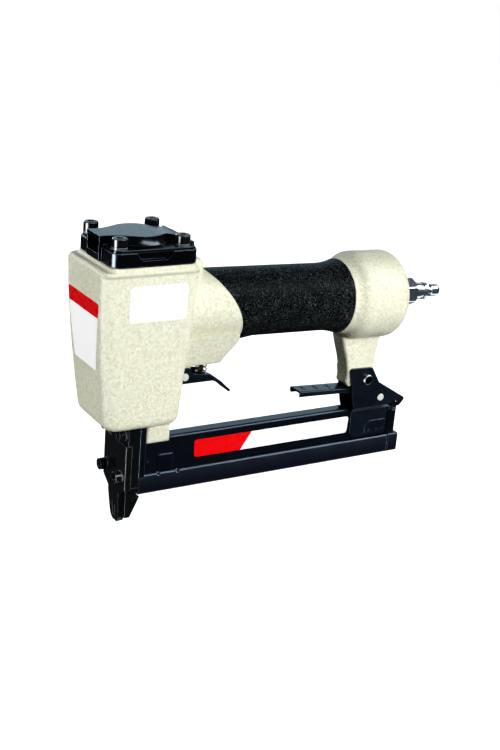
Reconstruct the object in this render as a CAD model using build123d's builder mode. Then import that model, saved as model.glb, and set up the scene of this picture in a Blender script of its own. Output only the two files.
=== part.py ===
"""Pneumatic stapler: a cast head and handle with a staple magazine slung below.

X runs from the nose plate to the air plug, Y across the tool and Z up. The driver blade travels on
x = 0, y = 0, and the nose tip stands at z = 0. Sizes are in millimetres.
"""

from build123d import *

import os
from math import cos, pi, radians, sin, sqrt

os.makedirs("parts", exist_ok=True)

# Head casting: height, front, rear, width and corner of each section
HEAD_BOTTOM_Z = 67.0
SHOULDER_Z = 162.0
HEAD_SECTIONS = (
    (HEAD_BOTTOM_Z, -23.2, 23.7, 48.6, 9.5),
    (104.0, -27.7, 25.8, 50.7, 8.0),
    (140.0, -30.4, 28.2, 52.2, 6.5),
    (SHOULDER_Z, -30.9, 29.7, 53.1, 6.0),
)
HEAD_REACH = 60.0
CHIN_RADIUS = 6.5
SHOULDER_RADIUS = 2.4
RIM_TOP_Z = 164.0
RIM_FRONT = -24.8
RIM_FOOT_FRONT = -26.4
RIM_REAR = 27.8
RIM_WIDTH = 49.6
RIM_CORNER = 6.0
CYLINDER_SEAT_Z = 74.0
HEAD_BORE = 17.5

# Handle, neck, rear boss and leg; the handle's axis falls a little towards the rear
HANDLE_Z = 133.6
HANDLE_TILT = radians(1.8)
HANDLE_RADIUS = 18.2
GRIP_RADIUS = 20.9
RESERVOIR_RADIUS = 13.5
NECK_START = 10.0
GRIP_END = 139.2
GRIP_END_RADIUS = 23.2
GRIP_SWELL = 14.0
BOSS_FRONT = 151.0
BOSS_RADIUS = 27.7
BOSS_REAR = 181.0
BOSS_ROUND = 8.0
SPIGOT_RADIUS = 11.0
PLUG_SEAT = 185.0
LEG_HALF = 6.3
LEG_ROOT_Z = 128.4
LEG_BOTTOM_Z = 68.3
LEG_TOE = 3.6
LEG_EDGE = 1.5
LEG_FRONT_FOOT = (151.8, LEG_BOTTOM_Z + LEG_TOE)
LEG_REAR_FOOT = (172.8, LEG_BOTTOM_Z + LEG_TOE)
GRIP_FRONT_TOP = (41.0, 156.0)
GRIP_FRONT_MID = (57.0, 136.0)
GRIP_FRONT_LOW = (66.0, 106.0)
GRIP_LIP_FRONT = 55.0
GRIP_LIP_REAR = 78.0
GRIP_LIP_DROP = 3.4

# Trigger web and bulge behind the cap
WEB_FRONT = 18.0
WEB_BOTTOM_Z = 98.0
WEB_TOP_Z = 118.0
WEB_CORNER = 5.0
WEB_REAR_EDGE = ((56.4, WEB_BOTTOM_Z), (60.4, 105.0), (63.6, 110.0), (63.0, WEB_TOP_Z))
WEB_WIDTHS = (22.0, 27.5, 31.0, 37.0)
BULGE_REAR = 38.0
BULGE_WIDTH = 30.0
BULGE_CORNER = 6.0
BULGE_ROUND = 4.5
BULGE_TOP_Z = 163.4

# Cap
GASKET = 0.6
CAP_BOTTOM_Z = RIM_TOP_Z + GASKET
CAP_LENGTH = 52.0
CAP_WIDTH = 49.0
CAP_MIDDLE = 1.5
CAP_REAR = CAP_MIDDLE + CAP_LENGTH / 2
CAP_CORNER = 5.8
CAP_EDGE_Z = 172.0
CAP_STEP = 0.8
CAP_PAD_Z = 173.8
CAP_TOP_Z = 178.6
DISC_X = 0.5
DISC_RADIUS = 15.3
DISC_FOOT = 17.3
HOOD_HALF = 8.2
HOOD_FRONT = -26.1
HOOD_SIDE = ((-18.0, 8.4), (-11.2, 11.0), (-5.0, 14.2))
RAMP_FRONT = 6.0
RAMP_HALF = 9.0
RAMP_LOW_Z = 175.2
BAND_FRONT = 22.5
BAND_HALF = 18.5
RECESS_RADIUS = 6.2
MOUTH_HALF = 7.0
MOUTH_LOW_Z = 168.4
MOUTH_HIGH_Z = 176.9
MOUTH_DEPTH = 11.0
CHAMBER_HEIGHT = 6.5
SCREW_SPACING = 38.0

# Socket screws and spring washers
M5_RADIUS = 2.5
M5_HEAD = 4.25
M4_RADIUS = 2.0
M4_HEAD = 3.5
WASHER = 1.2

# Cylinder, piston and driver
BORE_RADIUS = 13.5
CYLINDER_WALL = 2.3
CYLINDER_TOP_Z = 153.0
COLLAR_RADIUS = 17.2
PISTON_RADIUS = 13.2
PISTON_BOTTOM_Z = 138.6
PISTON_HEIGHT = 12.0
STROKE = 50.4
BLADE_WIDTH = 6.0
BLADE_THICKNESS = 1.1
BLADE_TIP_Z = 51.0

# Nose
NOSE_FRONT = -6.7
NOSE_BACK = -3.0
UPPER_SEAT = -5.4
NOSE_HALF = 15.0
NOSE_TOP_Z = 54.0
NOSE_SHOULDER_Z = 26.0
TONGUE_TOP_Z = 21.0
TONGUE_HALF = 7.2
TIP_HALF = 1.8
TIP_ROUND = (4.3, 1.9)
TIP_SIDE = (5.9, 5.4)
GUIDE_BOTTOM_Z = 5.0
GUIDE_TOE = 0.4
GUIDE_HEEL = 6.3
GUIDE_REAR = 4.0
GUIDE_HALF = 9.0
EAR_REAR = 2.0
CHANNEL_HALF = 3.1
CHANNEL_REAR = 0.65
NOSE_SCREW_Y = 10.3
NOSE_SCREW_LOW_Z = 33.8
NOSE_SCREW_HIGH_Z = 60.0

# Magazine
MAG_FRONT = 4.2
MAG_REAR = 188.0
MAG_HALF = 4.8
SHEET = 1.5
MAG_TOP_Z = 52.3
MAG_ROUND = 1.8
TOWER = 2.5
TOWER_LOW_Z = 40.0
TOWER_TOP_Z = 65.0
EAR_LOW_Z = 32.0
FLANGE_HALF = 6.4
FLANGE_TOP_Z = 29.1
LUG_FRONT = 11.0
LUG_REAR = 26.6
LUG_HALF = 5.0
LUG_BOTTOM_Z = 49.7
SLIDE_FRONT = 6.0
SLIDE_REAR = 189.5
SLIDE_HALF = 8.0
SLIDE_WALL = 1.2
SLIDE_BOTTOM_Z = 18.2
SLIDE_TOP_Z = 30.7
LIP_GAP = 0.4
NOTCH_DEPTH = 1.5
RAIL_HALF = 2.0
RAIL_WALL = 0.8
RAIL_TOP_Z = 47.6
PUSHER_FRONT = 6.6
PUSHER_REAR = 32.0

# Rear bracket, latch lever and tail
BRACKET_HALF = 8.0
BRACKET_FRONT = 158.6
BRACKET_REAR = 186.4
JOGGLE_HIGH_Z = 53.0
JOGGLE_LOW_Z = 50.5
FLANGE_REAR = 187.6
PATCH = 0.5
BOLT_X = 166.5
BOLT_Z = 73.1
BOLT_HEAD = 3.4
BOLT_HEIGHT = 2.4
LEVER_X = 179.5
LEVER_Z = 58.8
LEVER_PIN = 2.35
LEVER_HALF = 6.0
LEVER_SHEET = 1.2
PADDLE_FRONT = 117.0
PADDLE_TOP_Z = 69.4
PADDLE_LOW_Z = 65.6
WAIST = (172.5, 66.4)
CREST = (179.0, 68.6)
RUNNING_FIT = 0.07
TAIL_FRONT = 190.3
TAIL_REAR = 198.3
CATCH_HALF = 4.5
CATCH_PIN = 1.25
CATCH_PIN_X = 193.8
CATCH_PIN_Z = 47.7

# Trigger and its valve
TRIGGER_X = 33.2
TRIGGER_Z = 89.7
TRIGGER_PIN = 2.25
TRIGGER_HALF = 6.9
TRIGGER_SHEET = 1.2
TRIGGER_FLOOR_Z = 86.5
TRIGGER_FLOOR = 1.1
TRIGGER_TOP_Z = 95.0
TRIGGER_LUG_HALF = 5.3
TAIL_BEND = (60.5, 82.0)
TAIL_TIP = (65.7, 77.3)
VALVE_X = 47.4
STEM_RADIUS = 1.5
STEM_TOP_Z = 104.0
STEM_HEAD = 2.6
GUIDE_BUSH_RADIUS = 3.9
GUIDE_BUSH_BOTTOM_Z = 96.0
VALVE_BODY = 5.2
VALVE_BORE = 3.2

# Air plug
PLUG_THREAD = 6.4
PLUG_START = 173.0
PLUG_BODY = 5.7
PLUG_BORE = 2.4
HEX_CORNER = 9.35
HEX_TURNED = 9.1
HEX_END = 200.0
PLUG_TIP = 221.3

handle_way = Vector(cos(HANDLE_TILT), 0, -sin(HANDLE_TILT))
handle_plane = Plane((0, 0, HANDLE_Z), x_dir=handle_way, z_dir=(0, -1, 0))
handle_axis = Axis((0, 0, HANDLE_Z), handle_way)


def across_handle(reach):
    """Plane square to the handle's axis, this far along it."""
    return Plane(handle_plane.from_local_coords(Vector(reach, 0, 0)), x_dir=(0, 1, 0), z_dir=handle_way)


def save(builder, name):
    """Label a finished piece and write it as its own file."""
    builder.part.label = name
    export_step(builder.part, f"parts/{name}.step")


def biarc(start, start_way, end, end_way):
    """Joint of the two tangent arcs that lead from start to end along the given ways."""
    chord = end - start
    ways = start_way + end_way
    bend = 2 * (1 - start_way.dot(end_way))
    along = chord.dot(ways)
    reach = (sqrt(along * along + bend * chord.dot(chord)) - along) / bend
    return (start + end + (start_way - end_way) * reach) * 0.5


def coil_points(seat, radius, pitch, turns, steps_per_turn):
    """Points and directions of a helix about the seat's normal that starts on its X axis."""
    points = []
    for step in range(int(turns * steps_per_turn) + 1):
        angle = 2 * pi * step / steps_per_turn
        place = Vector(radius * cos(angle), radius * sin(angle), pitch * step / steps_per_turn)
        way = Vector(-radius * sin(angle), radius * cos(angle), pitch / (2 * pi)).normalized()
        points.append((seat.from_local_coords(place), seat.from_local_coords(way) - seat.origin))
    return points


def wind(stations):
    """Draw a coil as one chain of tangent arcs, two for each step between stations."""
    for (start, start_way), (end, end_way) in zip(stations, stations[1:]):
        joint = biarc(start, start_way, end, end_way)
        first = TangentArc(start, joint, tangent=start_way)
        TangentArc(joint, end, tangent=first % 1)


def coil_gap(path, wire):
    """Least free gap of a coil to itself, over points at least two wire widths apart along it."""
    count = 400
    spots = [path @ (k / count) for k in range(count + 1)]
    apart = int(4 * wire * count / path.length) + 1
    gaps = []
    for k, spot in enumerate(spots):
        gaps += [(other - spot).length - 2 * wire for other in spots[k + apart:]]
    return round(min(gaps), 2)


# Bulge of the air passage behind the cap, a part of the casting
with BuildPart() as bulge:
    with BuildSketch(Plane.XY.offset(HANDLE_Z)):
        with Locations((BULGE_REAR / 2, 0)):
            RectangleRounded(BULGE_REAR, BULGE_WIDTH, BULGE_CORNER)
    extrude(amount=BULGE_TOP_Z - HANDLE_Z)
    fillet(bulge.edges().group_by(Axis.Z)[-1], BULGE_ROUND)

# Casting: head, rim, neck, handle tube, rear boss, leg and lugs
with BuildPart() as housing:
    # Leg down to the magazine bracket
    with BuildSketch(Plane.XZ):
        with BuildLine():
            leg_front = Spline((142, LEG_ROOT_Z), (143.6, 112), (145.2, 102), (150, 87), LEG_FRONT_FOOT)
            leg_rear = Spline((180, LEG_ROOT_Z), (178, 108), (174.7, 99), (173.1, 87), LEG_REAR_FOOT)
            Line(leg_front @ 0, leg_rear @ 0)
            front_toe = (LEG_FRONT_FOOT[0] + LEG_TOE, LEG_BOTTOM_Z)
            rear_toe = (LEG_REAR_FOOT[0] - LEG_TOE, LEG_BOTTOM_Z)
            RadiusArc(LEG_FRONT_FOOT, front_toe, -LEG_TOE)
            Line(front_toe, rear_toe)
            RadiusArc(rear_toe, LEG_REAR_FOOT, -LEG_TOE)
        make_face()
    extrude(amount=LEG_HALF, both=True)
    leg_sides = housing.faces().filter_by(Axis.Y)
    fillet(leg_sides.edges().filter_by_position(Axis.Z, LEG_BOTTOM_Z - 1, LEG_ROOT_Z - 1), LEG_EDGE)
    # Head with its rounded chin and shoulder, and the rim that leans forward to its foot
    for height, front, rear, width, corner in HEAD_SECTIONS:
        with BuildSketch(Plane.XY.offset(height)):
            with Locations(((front + rear) / 2, 0)):
                RectangleRounded(rear - front, width, corner)
    loft()
    head_edges = housing.edges().filter_by_position(Axis.X, -HEAD_REACH, HEAD_REACH)
    fillet(head_edges.group_by(Axis.Z)[0], CHIN_RADIUS)
    head_edges = housing.edges().filter_by_position(Axis.X, -HEAD_REACH, HEAD_REACH)
    fillet(head_edges.group_by(Axis.Z)[-1], SHOULDER_RADIUS)
    for height, front in ((SHOULDER_Z - 1, RIM_FOOT_FRONT), (RIM_TOP_Z, RIM_FRONT)):
        with BuildSketch(Plane.XY.offset(height)):
            with Locations(((front + RIM_REAR) / 2, 0)):
                RectangleRounded(RIM_REAR - front, RIM_WIDTH, RIM_CORNER)
    loft()
    # Neck, cut back along the curved front edge of the grip
    with BuildSketch(across_handle(NECK_START)):
        Circle(GRIP_RADIUS)
    extrude(amount=GRIP_FRONT_LOW[0] - NECK_START + 4)
    with BuildSketch(Plane.XZ):
        with BuildLine():
            ThreePointArc(GRIP_FRONT_TOP, GRIP_FRONT_MID, GRIP_FRONT_LOW)
            Polyline(
                GRIP_FRONT_LOW,
                (GRIP_END, GRIP_FRONT_LOW[1]),
                (GRIP_END, GRIP_FRONT_TOP[1]),
                GRIP_FRONT_TOP,
            )
        make_face()
    extrude(amount=BOSS_RADIUS, both=True, mode=Mode.SUBTRACT)
    # Web that carries the trigger valve, hollowed along its rear edge
    for (web_rear, web_z), web_width in zip(WEB_REAR_EDGE, WEB_WIDTHS):
        with BuildSketch(Plane.XY.offset(web_z)):
            with Locations(((WEB_FRONT + web_rear) / 2, 0)):
                RectangleRounded(web_rear - WEB_FRONT, web_width, WEB_CORNER)
    loft()
    add(bulge.part)
    # Handle tube and rear boss
    with BuildSketch(handle_plane):
        with BuildLine():
            flare_middle = ((GRIP_END + BOSS_FRONT) / 2, (GRIP_END_RADIUS + BOSS_RADIUS) / 2)
            flare = TangentArc((GRIP_END, GRIP_END_RADIUS), flare_middle, tangent=(1, 0))
            TangentArc(flare @ 1, (BOSS_FRONT, BOSS_RADIUS), tangent=flare % 1)
            back = Line((BOSS_FRONT, BOSS_RADIUS), (BOSS_REAR - BOSS_ROUND, BOSS_RADIUS))
            TangentArc(back @ 1, (BOSS_REAR, BOSS_RADIUS - BOSS_ROUND), tangent=(1, 0))
            Polyline(
                (BOSS_REAR, BOSS_RADIUS - BOSS_ROUND),
                (BOSS_REAR, SPIGOT_RADIUS),
                (PLUG_SEAT, SPIGOT_RADIUS),
                (PLUG_SEAT, 0),
                (NECK_START, 0),
                (NECK_START, HANDLE_RADIUS),
                (GRIP_END, HANDLE_RADIUS),
                (GRIP_END, GRIP_END_RADIUS),
            )
        make_face()
    revolve(axis=handle_axis)
    # Lug that the magazine hangs on
    with BuildSketch(Plane.XY.offset(LUG_BOTTOM_Z)):
        with Locations(((LUG_FRONT + LUG_REAR) / 2, 0)):
            RectangleRounded(LUG_REAR - LUG_FRONT, 2 * LUG_HALF, 1.5)
    extrude(amount=CYLINDER_SEAT_Z - LUG_BOTTOM_Z)
    # Lug between the trigger's cheeks
    with BuildSketch(Plane.XZ):
        with Locations((TRIGGER_X, TRIGGER_Z)):
            Circle(4)
        with BuildLine():
            Polyline(
                (TRIGGER_X - 16, TRIGGER_Z - 2),
                (TRIGGER_X, TRIGGER_Z - 4),
                (TRIGGER_X + 4, TRIGGER_Z),
                (TRIGGER_X + 4, WEB_BOTTOM_Z + 2),
                (TRIGGER_X - 16, WEB_BOTTOM_Z + 2),
                close=True,
            )
        make_face()
    extrude(amount=TRIGGER_LUG_HALF, both=True)
    # Cylinder bore, driver passage, air reservoir and threaded holes
    with BuildSketch(Plane.XY.offset(CYLINDER_SEAT_Z)):
        Circle(HEAD_BORE)
    extrude(amount=RIM_TOP_Z - CYLINDER_SEAT_Z, mode=Mode.SUBTRACT)
    with BuildSketch(Plane.XY.offset(CYLINDER_SEAT_Z)):
        RectangleRounded(5, 9, 1.5)
    extrude(amount=HEAD_BOTTOM_Z - CYLINDER_SEAT_Z, mode=Mode.SUBTRACT)
    with BuildSketch(across_handle(0)):
        Circle(RESERVOIR_RADIUS)
    extrude(amount=PLUG_START - 1, mode=Mode.SUBTRACT)
    with BuildSketch(across_handle(PLUG_SEAT)):
        Circle(PLUG_THREAD + 0.1)
    extrude(amount=PLUG_START - 1 - PLUG_SEAT, mode=Mode.SUBTRACT)
    with BuildSketch(Plane.XY.offset(WEB_BOTTOM_Z)):
        with Locations((VALVE_X, 0)):
            Circle(VALVE_BODY + 0.1)
    extrude(amount=HANDLE_Z - WEB_BOTTOM_Z - RESERVOIR_RADIUS, mode=Mode.SUBTRACT)
    with BuildSketch(Plane.XY.offset(RIM_TOP_Z)):
        with GridLocations(SCREW_SPACING, SCREW_SPACING, 2, 2):
            Circle(M5_RADIUS + 0.05)
    extrude(amount=-14, mode=Mode.SUBTRACT)
    with BuildSketch(Plane.XZ):
        with Locations((TRIGGER_X, TRIGGER_Z)):
            Circle(TRIGGER_PIN + 0.02)
        with Locations((BOLT_X, BOLT_Z)):
            Circle(M4_RADIUS + 0.1)
    extrude(amount=TRIGGER_HALF, both=True, mode=Mode.SUBTRACT)
save(housing, "housing")

# Rubber sleeve on the handle, with its curved front edge
with BuildPart() as grip_sleeve:
    with BuildSketch(handle_plane):
        with BuildLine():
            front = GRIP_FRONT_TOP[0]
            end = GRIP_END - 0.1
            inside = HANDLE_RADIUS + 0.05
            Polyline((front, inside), (front, GRIP_RADIUS), (end - GRIP_SWELL, GRIP_RADIUS))
            TangentArc((end - GRIP_SWELL, GRIP_RADIUS), (end, GRIP_END_RADIUS), tangent=(1, 0))
            Polyline((end, GRIP_END_RADIUS), (end, inside), (front, inside))
        make_face()
    revolve(axis=handle_axis)
    # Lip that drops at the lower front end
    lip_ends = ((GRIP_LIP_FRONT, GRIP_LIP_DROP, GRIP_RADIUS), (GRIP_LIP_REAR, 0, GRIP_RADIUS - 0.15))
    for reach, drop, radius in lip_ends:
        with BuildSketch(across_handle(reach)):
            with Locations((0, -drop)):
                Circle(radius)
    loft()
    with BuildSketch(across_handle(GRIP_LIP_FRONT)):
        Circle(inside)
    extrude(amount=GRIP_LIP_REAR - GRIP_LIP_FRONT, mode=Mode.SUBTRACT)
    with BuildSketch(Plane.XZ):
        with BuildLine():
            ThreePointArc(GRIP_FRONT_TOP, GRIP_FRONT_MID, GRIP_FRONT_LOW)
            Polyline(
                GRIP_FRONT_LOW,
                (GRIP_FRONT_TOP[0] - 5, GRIP_FRONT_LOW[1]),
                (GRIP_FRONT_TOP[0] - 5, GRIP_FRONT_TOP[1]),
                GRIP_FRONT_TOP,
            )
        make_face()
    extrude(amount=BOSS_RADIUS, both=True, mode=Mode.SUBTRACT)
save(grip_sleeve, "grip_sleeve")

# Cap with the exhaust hood
with BuildPart() as head_cap:
    with BuildSketch(Plane.XY.offset(CAP_BOTTOM_Z)):
        with Locations((CAP_MIDDLE, 0)):
            RectangleRounded(CAP_LENGTH, CAP_WIDTH, CAP_CORNER)
    extrude(amount=CAP_EDGE_Z - CAP_BOTTOM_Z)
    with BuildSketch(Plane.XY.offset(CAP_EDGE_Z)):
        with Locations((CAP_MIDDLE, 0)):
            pad_corner = CAP_CORNER - CAP_STEP
            RectangleRounded(CAP_LENGTH - 2 * CAP_STEP, CAP_WIDTH - 2 * CAP_STEP, pad_corner)
    extrude(amount=CAP_PAD_Z - CAP_EDGE_Z, taper=12)
    fillet(head_cap.edges().group_by(Axis.Z)[-1], 0.6)
    # Round disc with a hollowed flank, the hood that flows into it and the ramp behind it
    with BuildSketch(Plane.XZ):
        with BuildLine():
            disc_edge = (DISC_X + DISC_RADIUS, CAP_TOP_Z)
            disc_foot = (DISC_X + DISC_FOOT, CAP_PAD_Z)
            Polyline(disc_foot, (DISC_X, CAP_PAD_Z), (DISC_X, CAP_TOP_Z), disc_edge)
            TangentArc(disc_edge, disc_foot, tangent=(0.1, -1))
        make_face()
    revolve(axis=Axis((DISC_X, 0, 0), (0, 0, 1)))
    with BuildSketch(Plane.XY.offset(CAP_BOTTOM_Z)):
        with BuildLine():
            hood_way = (-HOOD_SIDE[-1][1], HOOD_SIDE[-1][0] - DISC_X)
            Spline((HOOD_FRONT, HOOD_HALF), *HOOD_SIDE, tangents=((1, 0), (-hood_way[0], -hood_way[1])))
            Polyline(HOOD_SIDE[-1], (DISC_X, RAMP_HALF), (CAP_REAR - CAP_STEP, RAMP_HALF))
            mirror(about=Plane.XZ)
            Line((HOOD_FRONT, -HOOD_HALF), (HOOD_FRONT, HOOD_HALF))
            Line((CAP_REAR - CAP_STEP, -RAMP_HALF), (CAP_REAR - CAP_STEP, RAMP_HALF))
        make_face()
    extrude(amount=CAP_TOP_Z - CAP_BOTTOM_Z)
    with BuildSketch(Plane.XY.offset(CAP_EDGE_Z)):
        with Locations(((BAND_FRONT + CAP_REAR - CAP_STEP) / 2, 0)):
            Rectangle(CAP_REAR - CAP_STEP - BAND_FRONT, 2 * BAND_HALF)
    extrude(amount=RAMP_LOW_Z - CAP_EDGE_Z)
    with BuildSketch(Plane.XZ):
        with BuildLine():
            slope = TangentArc((RAMP_FRONT, CAP_TOP_Z), (CAP_REAR, RAMP_LOW_Z), tangent=(1, 0))
            Polyline(slope @ 1, (CAP_REAR, CAP_TOP_Z), slope @ 0)
        make_face()
    extrude(amount=CAP_WIDTH / 2, both=True, mode=Mode.SUBTRACT)
    with BuildSketch(Plane.XY.offset(CAP_PAD_Z)):
        with Locations((SCREW_SPACING / 2, -SCREW_SPACING / 2), (SCREW_SPACING / 2, SCREW_SPACING / 2)):
            Circle(RECESS_RADIUS)
    extrude(amount=CAP_TOP_Z - CAP_PAD_Z, mode=Mode.SUBTRACT)
    # Mouth of the hood
    with BuildSketch(Plane.YZ.offset(HOOD_FRONT)):
        with Locations((0, (MOUTH_LOW_Z + MOUTH_HIGH_Z) / 2)):
            Rectangle(2 * MOUTH_HALF, MOUTH_HIGH_Z - MOUTH_LOW_Z)
    extrude(amount=MOUTH_DEPTH, mode=Mode.SUBTRACT)
    # Side pockets, wider at the top
    for side in (-1, 1):
        with BuildSketch(Plane.XZ.offset(side * CAP_WIDTH / 2)):
            Polygon(
                (-7.5, 167.7),
                (7.7, 167.7),
                (11.8, CAP_EDGE_Z),
                (-10.9, CAP_EDGE_Z),
                align=None,
            )
        extrude(amount=-side * 3.5, mode=Mode.SUBTRACT)
    with BuildSketch(Plane.XY.offset(CAP_BOTTOM_Z)):
        Circle(BORE_RADIUS - 0.5)
    extrude(amount=CHAMBER_HEIGHT, mode=Mode.SUBTRACT)
    with BuildSketch(Plane.XY.offset(CAP_BOTTOM_Z)):
        with GridLocations(SCREW_SPACING, SCREW_SPACING, 2, 2):
            Circle(M5_RADIUS + 0.25)
    extrude(amount=CAP_PAD_Z - CAP_BOTTOM_Z, mode=Mode.SUBTRACT)
save(head_cap, "head_cap")

with BuildPart() as cap_gasket:
    with BuildSketch(Plane.XY.offset(RIM_TOP_Z)):
        with Locations((CAP_MIDDLE, 0)):
            RectangleRounded(CAP_LENGTH - 0.6, CAP_WIDTH - 0.6, CAP_CORNER)
        Circle(HEAD_BORE, mode=Mode.SUBTRACT)
        with GridLocations(SCREW_SPACING, SCREW_SPACING, 2, 2):
            Circle(M5_RADIUS + 0.25, mode=Mode.SUBTRACT)
    extrude(amount=GASKET)
save(cap_gasket, "cap_gasket")

# Cap screws and their spring washers
SCREW_SEAT_Z = CAP_PAD_Z + WASHER
with BuildPart() as cap_screws:
    with BuildSketch(Plane.XY.offset(SCREW_SEAT_Z)):
        with GridLocations(SCREW_SPACING, SCREW_SPACING, 2, 2):
            Circle(M5_HEAD)
    extrude(amount=5)
    chamfer(cap_screws.edges().group_by(Axis.Z)[-1], 0.5)
    with BuildSketch(Plane.XY.offset(SCREW_SEAT_Z)):
        with GridLocations(SCREW_SPACING, SCREW_SPACING, 2, 2):
            Circle(M5_RADIUS)
    extrude(amount=-22)
    with BuildSketch(Plane.XY.offset(SCREW_SEAT_Z + 5)):
        with GridLocations(SCREW_SPACING, SCREW_SPACING, 2, 2):
            RegularPolygon(2.3, 6)
    extrude(amount=-2.6, mode=Mode.SUBTRACT)
save(cap_screws, "cap_screws")

with BuildPart() as cap_washers:
    with BuildSketch(Plane.XY.offset(CAP_PAD_Z)):
        with GridLocations(SCREW_SPACING, SCREW_SPACING, 2, 2):
            Circle(M5_HEAD + 0.1)
            Circle(M5_RADIUS + 0.15, mode=Mode.SUBTRACT)
    extrude(amount=WASHER)
save(cap_washers, "cap_washers")

# Cylinder with two sealing collars
COLLAR_LEVELS = (CYLINDER_SEAT_Z + 5, CYLINDER_SEAT_Z + 48)
with BuildPart() as cylinder:
    with BuildSketch(Plane.XY.offset(CYLINDER_SEAT_Z)):
        Circle(BORE_RADIUS + CYLINDER_WALL)
    extrude(amount=CYLINDER_TOP_Z - CYLINDER_SEAT_Z)
    for level in COLLAR_LEVELS:
        with BuildSketch(Plane.XY.offset(level - 3)):
            Circle(COLLAR_RADIUS)
        extrude(amount=6)
        with BuildSketch(Plane.XY.offset(level - 1)):
            Circle(COLLAR_RADIUS)
            Circle(COLLAR_RADIUS - 1.6, mode=Mode.SUBTRACT)
        extrude(amount=2, mode=Mode.SUBTRACT)
    with BuildSketch(Plane.XY.offset(CYLINDER_SEAT_Z)):
        Circle(BORE_RADIUS)
    extrude(amount=CYLINDER_TOP_Z - CYLINDER_SEAT_Z, mode=Mode.SUBTRACT)
save(cylinder, "cylinder")

with BuildPart() as cylinder_o_rings:
    for level in COLLAR_LEVELS:
        with Locations((0, 0, level)):
            Torus(COLLAR_RADIUS - 0.8, 0.78)
save(cylinder_o_rings, "cylinder_o_rings")

with BuildPart() as bumper:
    with BuildSketch(Plane.XY.offset(CYLINDER_SEAT_Z)):
        Circle(BORE_RADIUS - 0.3)
        RectangleRounded(4, 8, 1, mode=Mode.SUBTRACT)
    extrude(amount=PISTON_BOTTOM_Z - STROKE - CYLINDER_SEAT_Z - 0.4)
save(bumper, "bumper")

# Piston, its seal, and the driver blade pinned into it
PISTON_RING_Z = PISTON_BOTTOM_Z + 8.5
BLADE_PIN_Z = PISTON_BOTTOM_Z + 3.5
with BuildPart() as piston:
    with BuildSketch(Plane.XY.offset(PISTON_BOTTOM_Z)):
        Circle(PISTON_RADIUS)
    extrude(amount=PISTON_HEIGHT)
    with BuildSketch(Plane.XY.offset(PISTON_RING_Z - 1)):
        Circle(PISTON_RADIUS)
        Circle(PISTON_RADIUS - 1.5, mode=Mode.SUBTRACT)
    extrude(amount=2, mode=Mode.SUBTRACT)
    with BuildSketch(Plane.XY.offset(PISTON_BOTTOM_Z + PISTON_HEIGHT)):
        Circle(8)
    extrude(amount=-3, mode=Mode.SUBTRACT)
    with BuildSketch(Plane.XY.offset(PISTON_BOTTOM_Z)):
        Rectangle(BLADE_THICKNESS + 0.1, BLADE_WIDTH + 0.1)
    extrude(amount=7, mode=Mode.SUBTRACT)
    with BuildSketch(Plane.YZ.offset(-PISTON_RADIUS)):
        with Locations((0, BLADE_PIN_Z)):
            Circle(1.55)
    extrude(amount=2 * PISTON_RADIUS, mode=Mode.SUBTRACT)
save(piston, "piston")

with BuildPart() as piston_o_ring:
    with Locations((0, 0, PISTON_RING_Z)):
        Torus(PISTON_RADIUS - 0.72, 0.72)
save(piston_o_ring, "piston_o_ring")

with BuildPart() as driver_blade:
    with BuildSketch(Plane.XY.offset(BLADE_TIP_Z)):
        Rectangle(BLADE_THICKNESS, BLADE_WIDTH)
    extrude(amount=PISTON_BOTTOM_Z + 6.8 - BLADE_TIP_Z)
    with BuildSketch(Plane.YZ.offset(-BLADE_THICKNESS)):
        with Locations((0, BLADE_PIN_Z)):
            Circle(1.55)
    extrude(amount=2 * BLADE_THICKNESS, mode=Mode.SUBTRACT)
save(driver_blade, "driver_blade")

with BuildPart() as driver_pin:
    with BuildSketch(Plane.YZ.offset(2 - PISTON_RADIUS)):
        with Locations((0, BLADE_PIN_Z)):
            Circle(1.5)
    extrude(amount=2 * PISTON_RADIUS - 4)
save(driver_pin, "driver_pin")

# Head valve: a cup that seals the cylinder's top, with its return spring
VALVE_SEAT_Z = CYLINDER_TOP_Z + 0.2
with BuildPart() as head_valve:
    with BuildSketch(Plane.XY.offset(VALVE_SEAT_Z)):
        Circle(HEAD_BORE - 0.4)
    extrude(amount=4.5)
    with BuildSketch(Plane.XY.offset(VALVE_SEAT_Z + 4.5)):
        Circle(BORE_RADIUS - 1.5)
    extrude(amount=8)
    with BuildSketch(Plane.XY.offset(VALVE_SEAT_Z + 4.5)):
        Circle(BORE_RADIUS - 3.5)
    extrude(amount=8, mode=Mode.SUBTRACT)
save(head_valve, "head_valve")

with BuildPart() as head_valve_spring:
    with BuildSketch(Plane.XY.offset(VALVE_SEAT_Z + 4.5)):
        Circle(BORE_RADIUS - 4)
        Circle(BORE_RADIUS - 5.6, mode=Mode.SUBTRACT)
    extrude(amount=CAP_BOTTOM_Z + CHAMBER_HEIGHT - VALVE_SEAT_Z - 4.5)
save(head_valve_spring, "head_valve_spring")

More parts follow.
